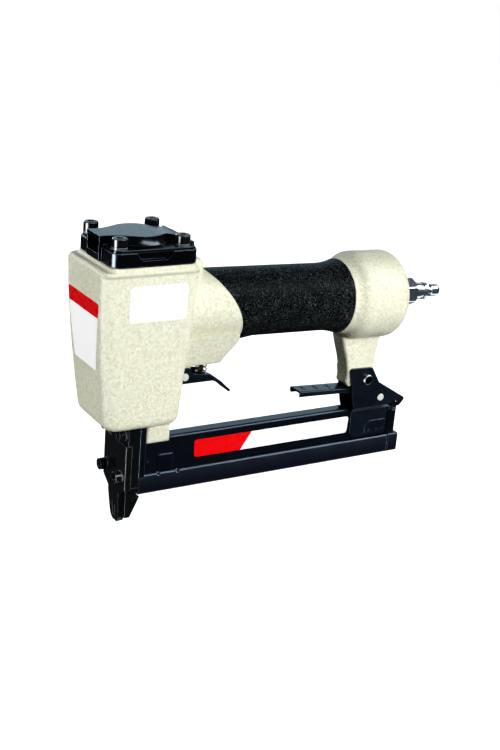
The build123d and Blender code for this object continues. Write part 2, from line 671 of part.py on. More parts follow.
# Driver guide behind the nose plate
with BuildPart() as driver_guide:
    with BuildSketch(Plane.XZ):
        Polygon(
            (NOSE_BACK, GUIDE_BOTTOM_Z),
            (GUIDE_TOE, GUIDE_BOTTOM_Z),
            (GUIDE_HEEL, SLIDE_BOTTOM_Z - 0.5),
            (GUIDE_REAR, SLIDE_BOTTOM_Z - 0.5),
            (GUIDE_REAR, HEAD_BOTTOM_Z),
            (NOSE_BACK, HEAD_BOTTOM_Z),
            align=None,
        )
    extrude(amount=GUIDE_HALF, both=True)
    with BuildSketch(Plane.YZ.offset(NOSE_BACK)):
        with Locations((0, (NOSE_SHOULDER_Z + HEAD_BOTTOM_Z) / 2)):
            RectangleRounded(2 * NOSE_HALF, HEAD_BOTTOM_Z - NOSE_SHOULDER_Z, 2)
    extrude(amount=EAR_REAR - NOSE_BACK)
    # Thick top that carries the upper screws
    with BuildSketch(Plane.YZ.offset(NOSE_BACK)):
        with Locations((0, (NOSE_TOP_Z + 0.3 + HEAD_BOTTOM_Z) / 2)):
            Rectangle(2 * NOSE_HALF, HEAD_BOTTOM_Z - NOSE_TOP_Z - 0.3)
    extrude(amount=UPPER_SEAT - NOSE_BACK)
    # Driver channel, open to the nose plate below and closed above it
    with BuildSketch(Plane.XY):
        with Locations(((NOSE_BACK + CHANNEL_REAR) / 2, 0)):
            Rectangle(CHANNEL_REAR - NOSE_BACK, 2 * CHANNEL_HALF)
    extrude(amount=NOSE_TOP_Z + 0.3, mode=Mode.SUBTRACT)
    with BuildSketch(Plane.XY.offset(NOSE_TOP_Z)):
        Rectangle(2 * CHANNEL_REAR, 2 * CHANNEL_HALF)
    extrude(amount=HEAD_BOTTOM_Z - NOSE_TOP_Z, mode=Mode.SUBTRACT)
    with BuildSketch(Plane.YZ.offset(CHANNEL_REAR)):
        with Locations((0, (24 + LUG_BOTTOM_Z) / 2)):
            Rectangle(2 * CHANNEL_HALF, LUG_BOTTOM_Z - 24)
    extrude(amount=GUIDE_REAR, mode=Mode.SUBTRACT)
    with BuildSketch(Plane.YZ.offset(UPPER_SEAT)):
        for height in (NOSE_SCREW_LOW_Z, NOSE_SCREW_HIGH_Z):
            with Locations((-NOSE_SCREW_Y, height), (NOSE_SCREW_Y, height)):
                Circle(M4_RADIUS + 0.05)
    extrude(amount=GUIDE_REAR - UPPER_SEAT, mode=Mode.SUBTRACT)
save(driver_guide, "driver_guide")

# Nose plate: wide at the screws, shouldered down to the rounded tongue that touches the work
with BuildPart() as nose_plate:
    with BuildSketch(Plane.YZ.offset(NOSE_FRONT)):
        with BuildLine():
            Polyline((0, NOSE_TOP_Z), (NOSE_HALF, NOSE_TOP_Z), (NOSE_HALF, NOSE_SHOULDER_Z))
            Polyline((NOSE_HALF, NOSE_SHOULDER_Z), (TONGUE_HALF, TONGUE_TOP_Z), TIP_SIDE)
            ThreePointArc(TIP_SIDE, TIP_ROUND, (TIP_HALF, 0))
            Line((TIP_HALF, 0), (0, 0))
            mirror(about=Plane.YZ)
        make_face()
    extrude(amount=NOSE_BACK - NOSE_FRONT)
    plate_edges = nose_plate.edges().group_by(Axis.X)[0]
    chamfer(plate_edges.filter_by_position(Axis.Z, NOSE_SHOULDER_Z, NOSE_TOP_Z + 1), 0.4)
    # Rib that closes the driver channel
    with BuildSketch(Plane.YZ.offset(NOSE_BACK)):
        rib_half = CHANNEL_HALF - 0.15
        with Locations((0, (NOSE_TOP_Z + 1) / 2)):
            Rectangle(2 * rib_half, NOSE_TOP_Z - 1)
        Polygon((-rib_half, 1), (-TIP_HALF, 0), (TIP_HALF, 0), (rib_half, 1), align=None)
    extrude(amount=-CHANNEL_REAR - NOSE_BACK)
    # Bevelled front of the tongue and the shallow groove in it
    with BuildSketch(Plane.XZ):
        Polygon((NOSE_FRONT, 18), (NOSE_FRONT, 0), (NOSE_FRONT + 1.6, 0), align=None)
    extrude(amount=NOSE_HALF, both=True, mode=Mode.SUBTRACT)
    with BuildSketch(Plane.YZ.offset(NOSE_FRONT)):
        with Locations((0, 6)):
            Rectangle(3.4, 12)
    extrude(amount=2.2, mode=Mode.SUBTRACT)
    with BuildSketch(Plane.YZ.offset(NOSE_FRONT)):
        with Locations((-NOSE_SCREW_Y, NOSE_SCREW_LOW_Z), (NOSE_SCREW_Y, NOSE_SCREW_LOW_Z)):
            Circle(M4_RADIUS + 0.2)
    extrude(amount=NOSE_BACK - NOSE_FRONT, mode=Mode.SUBTRACT)
save(nose_plate, "nose_plate")

# Nose screws: the lower pair clamps the plate, the upper pair the guide
NOSE_SEATS = ((NOSE_SCREW_LOW_Z, NOSE_FRONT), (NOSE_SCREW_HIGH_Z, UPPER_SEAT))
with BuildPart() as nose_screws:
    for height, seat in NOSE_SEATS:
        places = [(-NOSE_SCREW_Y, height), (NOSE_SCREW_Y, height)]
        with BuildSketch(Plane.YZ.offset(seat - WASHER)):
            with Locations(*places):
                Circle(M4_HEAD)
        extrude(amount=-4)
        with BuildSketch(Plane.YZ.offset(seat - WASHER - 4)):
            with Locations(*places):
                RegularPolygon(1.75, 6)
        extrude(amount=2, mode=Mode.SUBTRACT)
        with BuildSketch(Plane.YZ.offset(seat - WASHER)):
            with Locations(*places):
                Circle(M4_RADIUS)
        extrude(amount=MAG_FRONT + 1.4 - seat + WASHER)
save(nose_screws, "nose_screws")

with BuildPart() as nose_washers:
    for height, seat in NOSE_SEATS:
        with BuildSketch(Plane.YZ.offset(seat)):
            with Locations((-NOSE_SCREW_Y, height), (NOSE_SCREW_Y, height)):
                Circle(M4_HEAD + 0.1)
                Circle(M4_RADIUS + 0.15, mode=Mode.SUBTRACT)
        extrude(amount=-WASHER)
save(nose_washers, "nose_washers")

# Fixed magazine: a folded channel with out-turned feet, and a screwed flange at the front
with BuildPart() as fixed_magazine:
    with BuildSketch(Plane.YZ.offset(MAG_FRONT)):
        with Locations((0, (MAG_TOP_Z + FLANGE_TOP_Z - SHEET) / 2)):
            wall = Rectangle(2 * MAG_HALF, MAG_TOP_Z - FLANGE_TOP_Z + SHEET)
        fillet(wall.vertices().group_by(Axis.Y)[-1], MAG_ROUND)
        with Locations((0, FLANGE_TOP_Z - SHEET / 2)):
            Rectangle(2 * FLANGE_HALF, SHEET)
        inner_top = MAG_TOP_Z - SHEET
        with Locations((0, (inner_top + FLANGE_TOP_Z - SHEET - 1) / 2)):
            Rectangle(2 * (MAG_HALF - SHEET), inner_top - FLANGE_TOP_Z + SHEET + 1, mode=Mode.SUBTRACT)
    extrude(amount=MAG_REAR - MAG_FRONT)
    # Front tower with the flange that takes the nose screws
    with BuildSketch(Plane.XZ):
        with Locations((MAG_FRONT + TOWER / 2, (TOWER_LOW_Z + TOWER_TOP_Z) / 2)):
            Rectangle(TOWER, TOWER_TOP_Z - TOWER_LOW_Z)
    extrude(amount=MAG_HALF, both=True)
    for side in (-1, 1):
        with BuildSketch(Plane.YZ.offset(EAR_REAR)):
            with Locations((side * (MAG_HALF + NOSE_HALF) / 2, (EAR_LOW_Z + TOWER_TOP_Z) / 2)):
                RectangleRounded(NOSE_HALF - MAG_HALF, TOWER_TOP_Z - EAR_LOW_Z, 1.5)
        extrude(amount=MAG_FRONT + SHEET - EAR_REAR)
    with BuildSketch(Plane.YZ.offset(MAG_FRONT)):
        with Locations((0, (FLANGE_TOP_Z + LUG_BOTTOM_Z) / 2)):
            Rectangle(2 * (MAG_HALF - SHEET), LUG_BOTTOM_Z - FLANGE_TOP_Z)
    extrude(amount=4, mode=Mode.SUBTRACT)
    # Clear the block of the guide, and the notch under the casting's lug
    with BuildSketch(Plane.XZ):
        notch_front = MAG_FRONT + TOWER
        notch_rear = LUG_REAR + 0.4
        with Locations(((notch_front + notch_rear) / 2, MAG_TOP_Z)):
            Rectangle(notch_rear - notch_front, 2 * (MAG_TOP_Z - LUG_BOTTOM_Z + 0.1))
    extrude(amount=MAG_HALF + 1, both=True, mode=Mode.SUBTRACT)
    with BuildSketch(Plane.XY.offset(SLIDE_TOP_Z)):
        Rectangle(2 * (GUIDE_REAR + 0.1), 2 * (GUIDE_HALF + 0.2))
    extrude(amount=40, mode=Mode.SUBTRACT)
    with BuildSketch(Plane.YZ.offset(EAR_REAR)):
        for height in (NOSE_SCREW_LOW_Z, NOSE_SCREW_HIGH_Z):
            with Locations((-NOSE_SCREW_Y, height), (NOSE_SCREW_Y, height)):
                Circle(M4_RADIUS + 0.05)
    extrude(amount=6, mode=Mode.SUBTRACT)
    # Pressed tabs and dimples on both walls
    for side in (-1, 1):
        with BuildSketch(Plane.XZ.offset(-side * MAG_HALF)):
            with Locations((24.5, 36.4)):
                RectangleRounded(10, 9.6, 1)
        extrude(amount=-side * 0.8)
        with BuildSketch(Plane.XZ.offset(-side * MAG_HALF)):
            with Locations((13, 38.6)):
                Circle(1)
        extrude(amount=side * 0.6, mode=Mode.SUBTRACT)
save(fixed_magazine, "fixed_magazine")

# Slide: a C-channel whose lips run over the magazine's feet
with BuildPart() as magazine_slide:
    with BuildSketch(Plane.YZ.offset(SLIDE_FRONT)):
        height = SLIDE_TOP_Z - SLIDE_BOTTOM_Z
        with Locations((0, (SLIDE_TOP_Z + SLIDE_BOTTOM_Z) / 2)):
            RectangleRounded(2 * SLIDE_HALF, height, 1.2)
            Rectangle(2 * (SLIDE_HALF - SLIDE_WALL), height - 2 * SLIDE_WALL, mode=Mode.SUBTRACT)
        with Locations((0, SLIDE_TOP_Z)):
            Rectangle(2 * (MAG_HALF + LIP_GAP), 4 * SLIDE_WALL, mode=Mode.SUBTRACT)
    extrude(amount=SLIDE_REAR - SLIDE_FRONT)
    # Low step at the front and two small notches in each lip
    with BuildSketch(Plane.XY.offset(SLIDE_TOP_Z)):
        with Locations((SLIDE_FRONT, 0)):
            Rectangle(4, 3 * SLIDE_HALF)
    extrude(amount=-NOTCH_DEPTH, mode=Mode.SUBTRACT)
    with BuildSketch(Plane.XY.offset(SLIDE_TOP_Z)):
        for place in (18.9, 31.9):
            for side in (-1, 1):
                with Locations((place, side * SLIDE_HALF)):
                    Rectangle(1.6, 3.6)
    extrude(amount=-NOTCH_DEPTH, mode=Mode.SUBTRACT)
save(magazine_slide, "magazine_slide")

# Rail that the staples straddle: a narrow channel, open upwards
with BuildPart() as staple_rail:
    with BuildSketch(Plane.YZ.offset(SLIDE_FRONT)):
        floor_z = SLIDE_BOTTOM_Z + SLIDE_WALL
        with Locations((0, (floor_z + RAIL_TOP_Z) / 2)):
            Rectangle(2 * RAIL_HALF, RAIL_TOP_Z - floor_z)
        with Locations((0, (floor_z + 1 + RAIL_TOP_Z) / 2)):
            Rectangle(2 * (RAIL_HALF - RAIL_WALL), RAIL_TOP_Z - floor_z - 1, mode=Mode.SUBTRACT)
    extrude(amount=SLIDE_REAR - 3 - SLIDE_FRONT)
save(staple_rail, "staple_rail")

# Pusher: a saddle over the rail with a tongue inside it
with BuildPart() as pusher:
    with BuildSketch(Plane.YZ.offset(PUSHER_FRONT)):
        with Locations((0, 37.3)):
            Rectangle(6.1, 22.6)
        with Locations((0, 36.9)):
            Rectangle(4.5, 22.2, mode=Mode.SUBTRACT)
        with Locations((0, 36)):
            Rectangle(1.8, 24)
    extrude(amount=PUSHER_REAR - PUSHER_FRONT)
save(pusher, "pusher")

PUSHER_SPRING_Z = 30.0
with BuildPart() as pusher_spring:
    with BuildSketch(Plane.YZ.offset(PUSHER_REAR + 0.1)):
        with Locations((0, PUSHER_SPRING_Z)):
            Circle(1.05)
            Circle(0.6, mode=Mode.SUBTRACT)
    extrude(amount=SLIDE_REAR - 4 - PUSHER_REAR)
save(pusher_spring, "pusher_spring")

# Tail of the slide: end clip, upright catch and its cross pin
with BuildPart() as slide_end_clip:
    with BuildSketch(Plane.YZ.offset(TAIL_FRONT)):
        with Locations((0, 24.65)):
            RectangleRounded(2 * SLIDE_HALF + 0.4, 12.9, 1.4)
    extrude(amount=TAIL_REAR - TAIL_FRONT)
    fillet(slide_end_clip.edges().group_by(Axis.X)[-1], 0.8)
    for side in (-1, 1):
        with BuildSketch(Plane.YZ.offset(TAIL_FRONT)):
            with Locations((side * 4.5, 23.2)):
                Rectangle(4, 6.4)
        extrude(amount=-9)
save(slide_end_clip, "slide_end_clip")

with BuildPart() as catch_plate:
    with BuildSketch(Plane.XZ):
        Polygon((190.6, 31.1), (196.7, 31.1), (196.7, 51.8), (190.6, 47.2), align=None)
    extrude(amount=CATCH_HALF, both=True)
    with BuildSketch(Plane.XZ):
        Polygon((189, 33), (195.3, 33), (195.3, 60), (189, 60), align=None)
    extrude(amount=CATCH_HALF - 1.2, both=True, mode=Mode.SUBTRACT)
    with BuildSketch(Plane.XZ):
        with Locations((CATCH_PIN_X, CATCH_PIN_Z)):
            Circle(CATCH_PIN + 0.02)
    extrude(amount=CATCH_HALF, both=True, mode=Mode.SUBTRACT)
save(catch_plate, "catch_plate")

with BuildPart() as catch_pin:
    with BuildSketch(Plane.XZ):
        with Locations((CATCH_PIN_X, CATCH_PIN_Z)):
            Circle(CATCH_PIN)
    extrude(amount=LEVER_HALF, both=True)
save(catch_pin, "catch_pin")

# Bracket plates: flat above, stepped in to lie on the magazine's walls below
for side, name in ((-1, "bracket_left"), (1, "bracket_right")):
    with BuildPart() as bracket:
        with BuildSketch(Plane.XZ.offset(-side * BRACKET_HALF)) as upper_plate:
            with BuildLine():
                Polyline((BRACKET_FRONT, JOGGLE_HIGH_Z), (152.6, 81.2), (170.2, 80.6), (178.2, 67.6))
                Line((178.2, 67.6), (BRACKET_REAR, JOGGLE_HIGH_Z))
                Line((BRACKET_REAR, JOGGLE_HIGH_Z), (BRACKET_FRONT, JOGGLE_HIGH_Z))
            make_face()
            fillet(upper_plate.vertices().filter_by_position(Axis.Y, 60, 90), 2)
        extrude(amount=side * SHEET)
        with BuildSketch(Plane.XY.offset(JOGGLE_HIGH_Z)):
            with Locations(((BRACKET_FRONT + BRACKET_REAR) / 2, side * (BRACKET_HALF - SHEET / 2))):
                Rectangle(BRACKET_REAR - BRACKET_FRONT, SHEET)
        with BuildSketch(Plane.XY.offset(JOGGLE_LOW_Z)):
            with Locations(((BRACKET_FRONT + FLANGE_REAR) / 2, side * (MAG_HALF + SHEET / 2))):
                Rectangle(FLANGE_REAR - BRACKET_FRONT, SHEET)
        loft()
        with BuildSketch(Plane.XZ.offset(-side * MAG_HALF)):
            Polygon(
                (BRACKET_FRONT, JOGGLE_LOW_Z),
                (FLANGE_REAR, JOGGLE_LOW_Z),
                (MAG_REAR, 32),
                (162, 32),
                (BRACKET_FRONT, 35),
                align=None,
            )
        extrude(amount=-side * SHEET)
        # Pressed patch with three spot welds
        with BuildSketch(Plane.XZ.offset(-side * (MAG_HALF + SHEET))):
            Polygon((170.6, 34), (186.2, 34), (186.2, 42.4), (174.4, 42.4), (170.6, 38.6), align=None)
        extrude(amount=-side * PATCH)
        with BuildSketch(Plane.XZ.offset(-side * (MAG_HALF + SHEET + PATCH))):
            with Locations((173.7, 36.2), (180.2, 36.2), (184.3, 36.2)):
                Circle(0.9)
        extrude(amount=side * PATCH / 2, mode=Mode.SUBTRACT)
        with BuildSketch(Plane.XZ.offset(-side * (BRACKET_HALF + 1))):
            with Locations((BOLT_X, BOLT_Z)):
                Circle(M4_RADIUS + 0.1)
            with Locations((LEVER_X, LEVER_Z)):
                Circle(LEVER_PIN + 0.02)
        extrude(amount=side * 4, mode=Mode.SUBTRACT)
    save(bracket, name)

with BuildPart() as bracket_bolt:
    with BuildSketch(Plane.XZ.offset(BRACKET_HALF)):
        with Locations((BOLT_X, BOLT_Z)):
            Circle(BOLT_HEAD)
    extrude(amount=BOLT_HEIGHT)
    fillet(bracket_bolt.edges().group_by(Axis.Y)[0], 0.9)
    with BuildSketch(Plane.XZ.offset(BRACKET_HALF)):
        with Locations((BOLT_X, BOLT_Z)):
            Circle(M4_RADIUS)
    extrude(amount=-2 * BRACKET_HALF - 4.2)
    with BuildSketch(Plane.XZ.offset(BRACKET_HALF + BOLT_HEIGHT)):
        with Locations((BOLT_X, BOLT_Z)):
            RegularPolygon(1.9, 6)
    extrude(amount=-BOLT_HEIGHT, mode=Mode.SUBTRACT)
save(bracket_bolt, "bracket_bolt")

with BuildPart() as bracket_nut:
    with BuildSketch(Plane.XZ.offset(-BRACKET_HALF)):
        with Locations((BOLT_X, BOLT_Z)):
            RegularPolygon(4.04, 6)
            Circle(M4_RADIUS + 0.05, mode=Mode.SUBTRACT)
    extrude(amount=-3.2)
save(bracket_nut, "bracket_nut")

with BuildPart() as lever_pin:
    with BuildSketch(Plane.XZ):
        with Locations((LEVER_X, LEVER_Z)):
            Circle(LEVER_PIN)
    extrude(amount=BRACKET_HALF + 0.6, both=True)
    chamfer(lever_pin.edges(), 0.3)
save(lever_pin, "lever_pin")

# Latch lever: an inverted channel with a paddle in front and two hooks behind
with BuildPart() as latch_lever:
    with BuildSketch(Plane.XZ):
        with BuildLine():
            Polyline(
                (PADDLE_FRONT, PADDLE_LOW_Z),
                (PADDLE_FRONT, PADDLE_TOP_Z),
                WAIST,
                CREST,
                (200.4, 55.8),
            )
            ThreePointArc((200.4, 55.8), (201.0, 54.6), (200.4, 53.4))
            Polyline((200.4, 53.4), (197.4, 49.9), (196.0, 49.9))
            ThreePointArc((196.0, 49.9), (193.6, 53.6), (191.2, 51.6))
            Polyline(
                (191.2, 51.6),
                (186.5, 53.6),
                (175.0, 54.2),
                (163.0, 62.0),
                (150.0, 64.2),
                (PADDLE_FRONT, PADDLE_LOW_Z),
            )
        make_face()
    extrude(amount=LEVER_HALF, both=True)
    roof_edges = latch_lever.faces().filter_by(Axis.Y).edges().filter_by(GeomType.LINE)
    fillet(roof_edges.filter_by(lambda edge: edge.center().Z > 61 and edge.length > 5), 1.1)
    with BuildSketch(Plane.XZ):
        Polygon(
            (PADDLE_FRONT - 1, 60),
            (PADDLE_FRONT - 1, PADDLE_TOP_Z - LEVER_SHEET),
            (WAIST[0], WAIST[1] - LEVER_SHEET),
            (CREST[0], CREST[1] - LEVER_SHEET),
            (199.0, 56.6 - LEVER_SHEET),
            (199.0, 40),
            (170.0, 40),
            align=None,
        )
    extrude(amount=LEVER_HALF - LEVER_SHEET, both=True, mode=Mode.SUBTRACT)
    # Shallow finger grooves across the paddle's roof
    with BuildSketch(Plane.XZ):
        fall = (PADDLE_TOP_Z - WAIST[1]) / (WAIST[0] - PADDLE_FRONT)
        for place in (122.5, 132.0, 141.5):
            with Locations((place, PADDLE_TOP_Z - fall * (place - PADDLE_FRONT) + 1.2)):
                Circle(1.6)
    extrude(amount=LEVER_HALF / 2, both=True, mode=Mode.SUBTRACT)
    with BuildSketch(Plane.XZ):
        with Locations((LEVER_X, LEVER_Z)):
            Circle(LEVER_PIN + RUNNING_FIT)
    extrude(amount=LEVER_HALF, both=True, mode=Mode.SUBTRACT)
save(latch_lever, "latch_lever")

# Trigger: cheeks beside the casting's lug, a floor under the valve stem and a curved tail
with BuildPart() as trigger:
    with BuildSketch(Plane.XZ):
        with BuildLine():
            Polyline(
                (30.6, 85.4),
                (30.0, 93.2),
                (31.8, TRIGGER_TOP_Z),
                (36.0, TRIGGER_TOP_Z),
                (39.0, 91.0),
                (50.5, 89.6),
                (54.6, 86.2),
                (52.0, 85.4),
                (30.6, 85.4),
            )
        make_face()
    extrude(amount=TRIGGER_HALF, both=True)
    with BuildSketch(Plane.XZ):
        with Locations((40, (TRIGGER_FLOOR_Z + TRIGGER_TOP_Z) / 2)):
            Rectangle(40, TRIGGER_TOP_Z - TRIGGER_FLOOR_Z)
        Polygon((20, 84), (40.4, 84), (40.4, 92), (20, 92), align=None)
    extrude(amount=TRIGGER_HALF - TRIGGER_SHEET, both=True, mode=Mode.SUBTRACT)
    with BuildSketch(Plane.XZ):
        with BuildLine():
            tail_root = (51.0, TRIGGER_FLOOR_Z)
            tail_under = (51.0, TRIGGER_FLOOR_Z - TRIGGER_FLOOR)
            bend_under = (TAIL_BEND[0] - 0.7, TAIL_BEND[1] - 1.3)
            tip_under = (TAIL_TIP[0] - TRIGGER_FLOOR, TAIL_TIP[1] - 1)
            TangentArc(tail_root, TAIL_BEND, tangent=(1, 0))
            Polyline(TAIL_BEND, TAIL_TIP, tip_under, bend_under)
            TangentArc(bend_under, tail_under, tangent=(-7, 6))
            Line(tail_under, tail_root)
        make_face()
    extrude(amount=TRIGGER_HALF - TRIGGER_SHEET, both=True)
    with BuildSketch(Plane.XZ):
        with Locations((TRIGGER_X, TRIGGER_Z)):
            Circle(TRIGGER_PIN + RUNNING_FIT)
    extrude(amount=TRIGGER_HALF, both=True, mode=Mode.SUBTRACT)
save(trigger, "trigger")

with BuildPart() as trigger_pin:
    with BuildSketch(Plane.XZ):
        with Locations((TRIGGER_X, TRIGGER_Z)):
            Circle(TRIGGER_PIN)
    extrude(amount=TRIGGER_HALF + 0.7, both=True)
    chamfer(trigger_pin.edges(), 0.3)
save(trigger_pin, "trigger_pin")

# Trigger spring: a wire coil between the valve bush and the trigger's floor
SPRING_RADIUS = 3.2
SPRING_WIRE = 0.4
SPRING_TURNS = 3
SPRING_PITCH = (GUIDE_BUSH_BOTTOM_Z - TRIGGER_FLOOR_Z - 2 * SPRING_WIRE - 0.2) / SPRING_TURNS
with BuildPart() as trigger_spring:
    seat = Plane((VALVE_X, 0, TRIGGER_FLOOR_Z + SPRING_WIRE + 0.1), x_dir=(-1, 0, 0), z_dir=(0, 0, 1))
    with BuildLine() as trigger_wire:
        wind(coil_points(seat, SPRING_RADIUS, SPRING_PITCH, SPRING_TURNS, 4))
    path = trigger_wire.wire()
    with BuildSketch(Plane(origin=path @ 0, z_dir=path % 0)):
        Circle(SPRING_WIRE)
    sweep(path=path)
save(trigger_spring, "trigger_spring")
print("trigger spring least gap", coil_gap(path, SPRING_WIRE))

# Trigger valve: brass bush, stem and spring
with BuildPart() as valve_guide:
    with BuildSketch(Plane.XY.offset(GUIDE_BUSH_BOTTOM_Z)):
        with Locations((VALVE_X, 0)):
            Circle(GUIDE_BUSH_RADIUS)
    extrude(amount=WEB_BOTTOM_Z - GUIDE_BUSH_BOTTOM_Z)
    with BuildSketch(Plane.XY.offset(WEB_BOTTOM_Z)):
        with Locations((VALVE_X, 0)):
            Circle(VALVE_BODY)
    extrude(amount=15.5)
    with BuildSketch(Plane.XY.offset(WEB_BOTTOM_Z)):
        with Locations((VALVE_X, 0)):
            Circle(VALVE_BORE)
    extrude(amount=14, mode=Mode.SUBTRACT)
    with BuildSketch(Plane.XY.offset(GUIDE_BUSH_BOTTOM_Z)):
        with Locations((VALVE_X, 0)):
            Circle(STEM_RADIUS + RUNNING_FIT)
    extrude(amount=24, mode=Mode.SUBTRACT)
save(valve_guide, "valve_guide")

STEM_BOTTOM_Z = TRIGGER_FLOOR_Z + 0.15
with BuildPart() as valve_stem:
    with BuildSketch(Plane.XZ):
        with BuildLine():
            stem_end = (VALVE_X, STEM_BOTTOM_Z)
            stem_side = (VALVE_X + STEM_RADIUS, STEM_BOTTOM_Z + STEM_RADIUS)
            Polyline(
                stem_end,
                (VALVE_X, STEM_TOP_Z),
                (VALVE_X + STEM_HEAD, STEM_TOP_Z),
                (VALVE_X + STEM_HEAD, STEM_TOP_Z - 3),
                (VALVE_X + STEM_RADIUS, STEM_TOP_Z - 4.5),
                stem_side,
            )
            RadiusArc(stem_side, stem_end, STEM_RADIUS)
        make_face()
    revolve(axis=Axis((VALVE_X, 0, 0), (0, 0, 1)))
save(valve_stem, "valve_stem")

with BuildPart() as valve_spring:
    with BuildSketch(Plane.XY.offset(STEM_TOP_Z + 0.2)):
        with Locations((VALVE_X, 0)):
            Circle(2.8)
            Circle(2.0, mode=Mode.SUBTRACT)
    extrude(amount=7.6)
save(valve_spring, "valve_spring")

# Lever spring: a coil round the lever's pin, between its cheeks
LEVER_SPRING_RADIUS = 3.5
LEVER_SPRING_WIRE = 0.45
LEVER_SPRING_TURNS = 4
LEVER_SPRING_PITCH = 1.6
LEVER_SPRING_TAIL = 5.6
with BuildPart() as lever_spring:
    spring_half = LEVER_SPRING_PITCH * LEVER_SPRING_TURNS / 2
    seat = Plane((LEVER_X, spring_half, LEVER_Z), x_dir=(-1, 0, 0), z_dir=(0, -1, 0))
    with BuildLine() as lever_wire:
        stations = coil_points(seat, LEVER_SPRING_RADIUS, LEVER_SPRING_PITCH, LEVER_SPRING_TURNS, 4)
        first_place, first_way = stations[0]
        last_place, last_way = stations[-1]
        Line(first_place - first_way * LEVER_SPRING_TAIL, first_place)
        wind(stations)
        Line(last_place, last_place + last_way * LEVER_SPRING_TAIL)
    path = lever_wire.wire()
    with BuildSketch(Plane(origin=path @ 0, z_dir=path % 0)):
        Circle(LEVER_SPRING_WIRE)
    sweep(path=path)
save(lever_spring, "lever_spring")
print("lever spring least gap", coil_gap(path, LEVER_SPRING_WIRE))

# Air plug: hexagon, thread, body, collar and tip
with BuildPart() as air_plug:
    with BuildSketch(handle_plane):
        with BuildLine():
            Polyline(
                (PLUG_START, 0),
                (PLUG_START, PLUG_THREAD),
                (PLUG_SEAT, PLUG_THREAD),
                (PLUG_SEAT, HEX_TURNED),
                (HEX_END - 1.2, HEX_TURNED),
                (HEX_END, 7.4),
                (HEX_END, PLUG_BODY),
                (205.2, PLUG_BODY),
                (206.0, 5.0),
                (207.4, 5.0),
                (208.2, 5.6),
                (210.6, 5.6),
                (212.4, 3.1),
                (213.8, 3.1),
                (214.6, 4.1),
                (PLUG_TIP - 1.8, 4.1),
                (PLUG_TIP, 3.2),
                (PLUG_TIP, 0),
                close=True,
            )
        make_face()
    revolve(axis=handle_axis)
    with BuildSketch(across_handle(PLUG_SEAT)):
        Circle(12)
        RegularPolygon(HEX_CORNER, 6, rotation=30, mode=Mode.SUBTRACT)
    extrude(amount=HEX_END - PLUG_SEAT, mode=Mode.SUBTRACT)
    with BuildSketch(across_handle(PLUG_START)):
        Circle(PLUG_BORE)
    extrude(amount=PLUG_TIP - PLUG_START, mode=Mode.SUBTRACT)
save(air_plug, "air_plug")
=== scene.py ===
# %% [markdown]
# # A pneumatic stapler, dressed for its portrait
# The solids of the stapler come from a CAD program and arrive here as fixed meshes, in metres, with
# the driver's axis at x = y = 0 and the nose tip at z = 0. This lesson gives each of them a finish,
# adds the thin things that CAD leaves out, and lights the tool as in a catalogue photograph.

import bpy
import numpy as np
from mathutils import Matrix, Vector


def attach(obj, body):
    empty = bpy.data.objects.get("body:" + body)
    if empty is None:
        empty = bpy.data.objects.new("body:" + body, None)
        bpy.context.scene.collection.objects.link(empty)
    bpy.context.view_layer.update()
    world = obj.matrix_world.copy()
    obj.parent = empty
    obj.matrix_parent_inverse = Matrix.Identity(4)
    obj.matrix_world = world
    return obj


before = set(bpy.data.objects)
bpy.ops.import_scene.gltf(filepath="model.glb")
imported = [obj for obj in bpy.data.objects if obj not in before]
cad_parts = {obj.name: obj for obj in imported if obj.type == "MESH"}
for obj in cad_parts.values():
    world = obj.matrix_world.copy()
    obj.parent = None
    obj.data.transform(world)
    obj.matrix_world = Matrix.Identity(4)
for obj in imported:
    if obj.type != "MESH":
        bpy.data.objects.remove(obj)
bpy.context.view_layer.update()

# %% [markdown]
# ## Camera
# The photograph was taken from the tool's front left, a little above it, with a long lens. The three
# directions below are where the picture's right, up and forward point in the tool's own frame. A
# camera looks along its own -Z, so its matrix takes right, up and minus forward as columns. Measured
# directions are used rather than a Track To constraint because the picture is also tilted by 5 degrees.

# %% Camera
EYE = Vector((-0.2990, -0.6007, 0.3441))
RIGHT = Vector((0.8571, -0.5086, 0.0818))
UP = Vector((0.1104, 0.3365, 0.9351))
FORWARD = Vector((0.5031, 0.7925, -0.3446))
SENSOR_MM = 36.0
FOCAL_MM = 59.3
FAR_CLIP = 60.0

lens = bpy.data.cameras.new("portrait_lens")
lens.sensor_width = SENSOR_MM
lens.lens = FOCAL_MM
lens.clip_end = FAR_CLIP
camera = bpy.data.objects.new("portrait_camera", lens)
columns = Matrix((RIGHT, UP, -FORWARD)).transposed()
camera.matrix_world = Matrix.Translation(EYE) @ columns.to_4x4()
bpy.context.scene.collection.objects.link(camera)
bpy.context.scene.camera = camera
print("camera", tuple(round(value, 3) for value in EYE), "lens", lens.lens)

# %% [markdown]
# ## Meshes from arrays
# A mesh is a list of points and a list of faces, each of which names its points by number. All that this
# lesson adds is built of rings of points, so one helper makes an object from arrays, and another numbers
# the four-sided faces between neighbouring rings. Whole arrays are quicker than loops over points, and
# the same two helpers serve the floor and the stickers.


# %% Meshes from arrays
def mesh_object(name, points, faces):
    """An object at the origin whose mesh holds the points (n x 3) and the faces."""
    mesh = bpy.data.meshes.new(name)
    mesh.from_pydata(points.tolist(), [], faces)
    mesh.validate()
    mesh.update()
    piece = bpy.data.objects.new(name, mesh)
    bpy.context.scene.collection.objects.link(piece)
    return piece


def ring_faces(rows, count):
    """Quads between neighbouring rings of count points each, as index rows."""
    row, column = np.meshgrid(np.arange(rows - 1), np.arange(count), indexing="ij")
    here = row * count + column
    beside = row * count + (column + 1) % count
    return np.stack([here, beside, beside + count, here + count], axis=-1).reshape(-1, 4).tolist()


print("faces between two rings of three points", ring_faces(2, 3))

